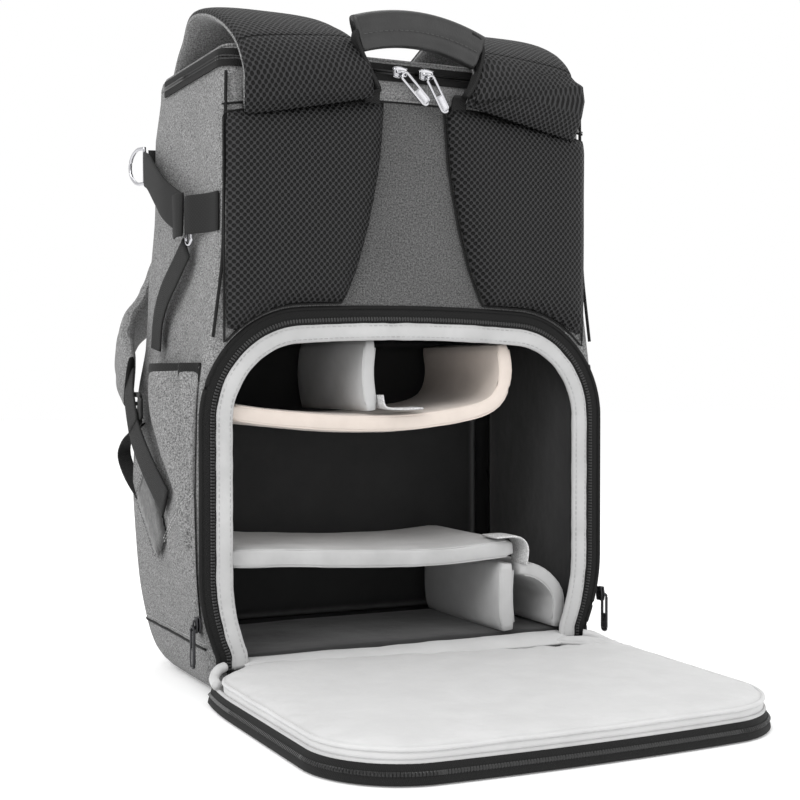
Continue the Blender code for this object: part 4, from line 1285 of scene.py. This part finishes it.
def make_side_fittings():
    """On each side: the strap with its keeper, D-ring, anchor, metal ring and loose tail."""
    upright = (0.0, 0.0, 1.0)
    for side, s in SIDES:

        def band(name, run, across, width, thickness, slot, *nodes, s=s):
            ride(flat_band(name, mirrored(s, run), across, width, thickness, WEB), "bag", slot, *nodes)

        def wire(kind, loop, radius, side=side):
            body = f"side_{kind}_{side}"
            made = tube(f"{body}_wire", evenly(loop, 0.0015, True), radius, STEEL, closed=True, steps=12)
            ride(made, body, "polished_steel", body)

        anchor = f"side_anchor_{side}"
        band(f"{anchor}_band", SIDE_ANCHOR_RUN, upright, 0.027, 0.0020, "black_webbing", anchor)
        band(f"side_keeper_{side}_leaf", KEEPER_RUN, (0.0, 0.12, 1.0), 0.031, 0.0020, "black_leather")
        ring = rounded_frame(0.012, 0.033, 0.005)
        wire("ring", [(s * 0.1530, -0.0330 + u, 0.3290 + v) for u, v in ring], 0.0013)
        strap = f"side_strap_{side}"
        band(f"{strap}_band", SIDE_STRAP_RUN, (0.0, 0.36, 0.93), 0.027, 0.0028, "black_leather", strap)
        bow = [(0.0, v) for v in np.linspace(-0.0135, 0.0135, 9)] + arc((0.004, 0.0), 0.014, 75, -75, 16)
        wire("dring", [(s * (0.1520 + u * 0.35), 0.0820 + u, 0.3830 - v) for u, v in bow], 0.0014)
        loop = f"side_dring_loop_{side}"
        band(f"{loop}_band", DRING_LOOP_RUN, upright, 0.024, 0.0022, "black_webbing", loop)
        tail = f"side_tail_{side}"
        band(f"{tail}_band", SIDE_TAIL_RUN, (0.0, -0.86, -0.5), 0.022, 0.0018, "black_webbing", tail)


POCKET_EDGE = (
    (0.090, -0.066), (0.110, -0.064), (0.1357, -0.050), (0.1479, -0.029), (0.1641, -0.004), (0.190, 0.016),
    (0.2142, 0.028), (0.228, 0.031),
)  # fmt: skip
OVERLAY_EDGE = (
    (-0.070, 0.1435), (-0.0667, 0.1419), (-0.051, 0.1352), (-0.0205, 0.1186), (-0.0033, 0.1063),
    (-0.006, 0.098), (-0.016, 0.080), (-0.030, 0.062), (-0.050, 0.048), (-0.070, 0.040),
)  # fmt: skip
POCKET_FOOT, POCKET_RIM = 0.104, 0.2270


def pocket_stand(t, rise):
    """How far a bottle pocket stands off the side: a flat panel, a fold, a full roll and a ripple."""
    groove = 0.05 + 0.24 * rise
    panel = 0.0095 * math.exp(-(((t - groove + 0.15) / 0.070) ** 2))
    roll = 0.0140 * math.sin(math.pi * min(max((t - groove - 0.03) / (0.97 - groove), 0.0), 1.0)) ** 0.9
    ripple = 0.0016 * math.exp(-(((t - 0.66) / 0.16) ** 2)) * math.sin(rise * 9.0 + 1.0)
    belly = math.sin(math.pi * t) ** 0.5 if 0 < t < 1 else 0.0
    stand = 0.0010 + (max(panel, roll) * (0.2 + 0.8 * rise**0.45) + ripple) * min(belly * 1.6, 1.0)
    return max(stand, 0.0008)


def make_pockets():
    """Bottle pockets: a gathered canvas wall, folded over itself, with a bound top edge."""
    for side, s in SIDES:
        rows = []
        for z in np.linspace(POCKET_FOOT, POCKET_RIM, 46):
            rise = (z - POCKET_FOOT) / (POCKET_RIM - POCKET_FOOT)
            near, far = -0.0680, float(np.interp(z, *zip(*POCKET_EDGE))) + 0.002
            shares = np.linspace(0, 1, 84)
            wide = [s * min(profile(WIDTHS, z) + pocket_stand(t, rise), 0.1748) for t in shares]
            rows.append([(x, near + (far - near) * t, z) for x, t in zip(wide, shares)])
        cloth = grid(f"bottle_pocket_{side}_cloth", rows, CANVAS)
        thicken(cloth, 0.0016)
        ride(cloth, "bag", "grey_canvas", f"bottle_pocket_{side}")
        edge = np.array(rows[-1]) - 0.004 * UP
        binding = ribbon(f"pocket_binding_{side}", edge, UP, 0.0068, 0.0015, WEB, steps=16)
        ride(binding, "bag", "black_webbing")
        spots = evenly(smooth(OVERLAY_EDGE, 5), 0.003)
        spots = np.vstack([spots, [[-0.0715, 0.06], [-0.0715, 0.10], [-0.0715, 0.13]]])

        def outward(u, v, height, s=s):
            return (s * (height + profile(WIDTHS, v)), u, v)

        name = f"side_overlay_{side}"
        panel = pad_from_outline(name, spots, 0.0004, 0.0034, 0.0006, 0.0010, outward, CANVAS, 0.003)
        ride(panel, "bag", "grey_canvas")
        line = evenly(smooth(OVERLAY_EDGE[:5], 5), 0.003)
        away = tangents(line)[:, ::-1] * (1.0, -1.0)
        for k, inset in enumerate((0.0020, 0.0048)):
            points = [outward(u, v, 0.0038) for u, v in line + away * inset]
            name = f"side_overlay_stitches_{side}_{k}"
            stitches(name, points, (s, 0.0, 0.0), "bag", "grey_canvas", THREAD_GREY, gap=0.0013)


def make_front_pocket():
    """A flat padded pocket on the bag's far face, with its zip above it."""
    rows = []
    for z in np.linspace(0.075, 0.270, 44):
        lip = min(z - 0.075, 0.270 - z)
        row = []
        for x in np.linspace(-0.112, 0.112, 50):
            rim = 0.112 - abs(x)
            stand = 0.0145 * min(rim / 0.012, 1.0) ** 0.5 * min(lip / 0.012, 1.0) ** 0.5
            wave = noise.noise(Vector((x, z, 4.0)) / 0.05) * 0.0018 * min(rim, lip, 0.03) / 0.03
            row.append((x, profile(FRONTS, z) + 0.0008 + stand + wave, z))
        rows.append(row)
    cloth = grid("front_pocket_cloth", rows, CANVAS)
    ride(cloth, "bag", "grey_canvas", "front_pocket")
    line = np.array([(x, profile(FRONTS, 0.2765) + 0.0012, 0.2765) for x in np.linspace(-0.100, 0.100, 51)])
    tape = ribbon("front_zip_tape", line, UP, 0.0058, 0.0010, TAPE_WEB)
    ride(tape, "bag", "black_webbing", "front_zip_track")
    coil("front_zip_coil", line + 0.0010 * FRONTWARD, FRONTWARD, (0.0011, 0.0021, 0.0012), 0.0007)


# ---------------------------------------------------------------- stage


def pale_floor():
    s = Surface("floor_pale", 0.93, 0.95)
    s.set("Specular IOR Level", 0.1)
    s.set("Emission Color", (1.0, 1.0, 1.0, 1.0))
    s.set("Emission Strength", 0.16)
    return s.finish(s.ramp(s.noise(3.0, 1.0, 0.5), ((0.3, 0.93), (0.7, 0.95))))


def make_stage():
    """The pale floor, the lights and the photo's viewpoint."""
    floor = add_mesh("floor", [(-6, -6, 0), (6, -6, 0), (6, 6, 0), (-6, 6, 0)], [(0, 1, 2, 3)], pale_floor())
    scene = bpy.context.scene
    world = bpy.data.worlds.new("studio")
    world.use_nodes = True
    backdrop = world.node_tree.nodes["Background"].inputs
    backdrop["Color"].default_value = (1.0, 1.0, 1.0, 1.0)
    backdrop["Strength"].default_value = 1.0
    scene.world = world
    scene.view_settings.view_transform = "Standard"
    for name, place, size, power in (
        ("key", (-1.9, -1.3, 1.9), 1.4, 30.0),
        ("fill", (1.7, -1.8, 1.1), 1.8, 8.0),
        ("top", (0.0, 0.2, 2.4), 1.6, 12.0),
    ):
        data = bpy.data.lights.new(name, "AREA")
        data.size = size
        data.energy = power
        lamp = bpy.data.objects.new(name, data)
        lamp.location = place
        lamp.rotation_euler = (Vector((0, 0, 0.2)) - Vector(place)).to_track_quat("-Z", "Y").to_euler()
        scene.collection.objects.link(lamp)
    data = bpy.data.cameras.new("camera")
    data.lens = 64.7
    data.sensor_width = 36.0
    camera = bpy.data.objects.new("camera", data)
    camera.location = (-0.462, -1.006, 0.221)
    camera.rotation_euler = (math.pi / 2 - 0.017, 0.0, -0.453)
    scene.collection.objects.link(camera)
    scene.camera = camera


make_stage()
make_shell()
make_seams()
make_lid()
make_top_zip()
make_mouth()
make_lining()
make_dividers()
make_tabs()
make_flap()
make_back_pads()
make_straps()
make_strap_ends()
make_handle()
make_sliders()
make_side_fittings()
make_pockets()
make_front_pocket()
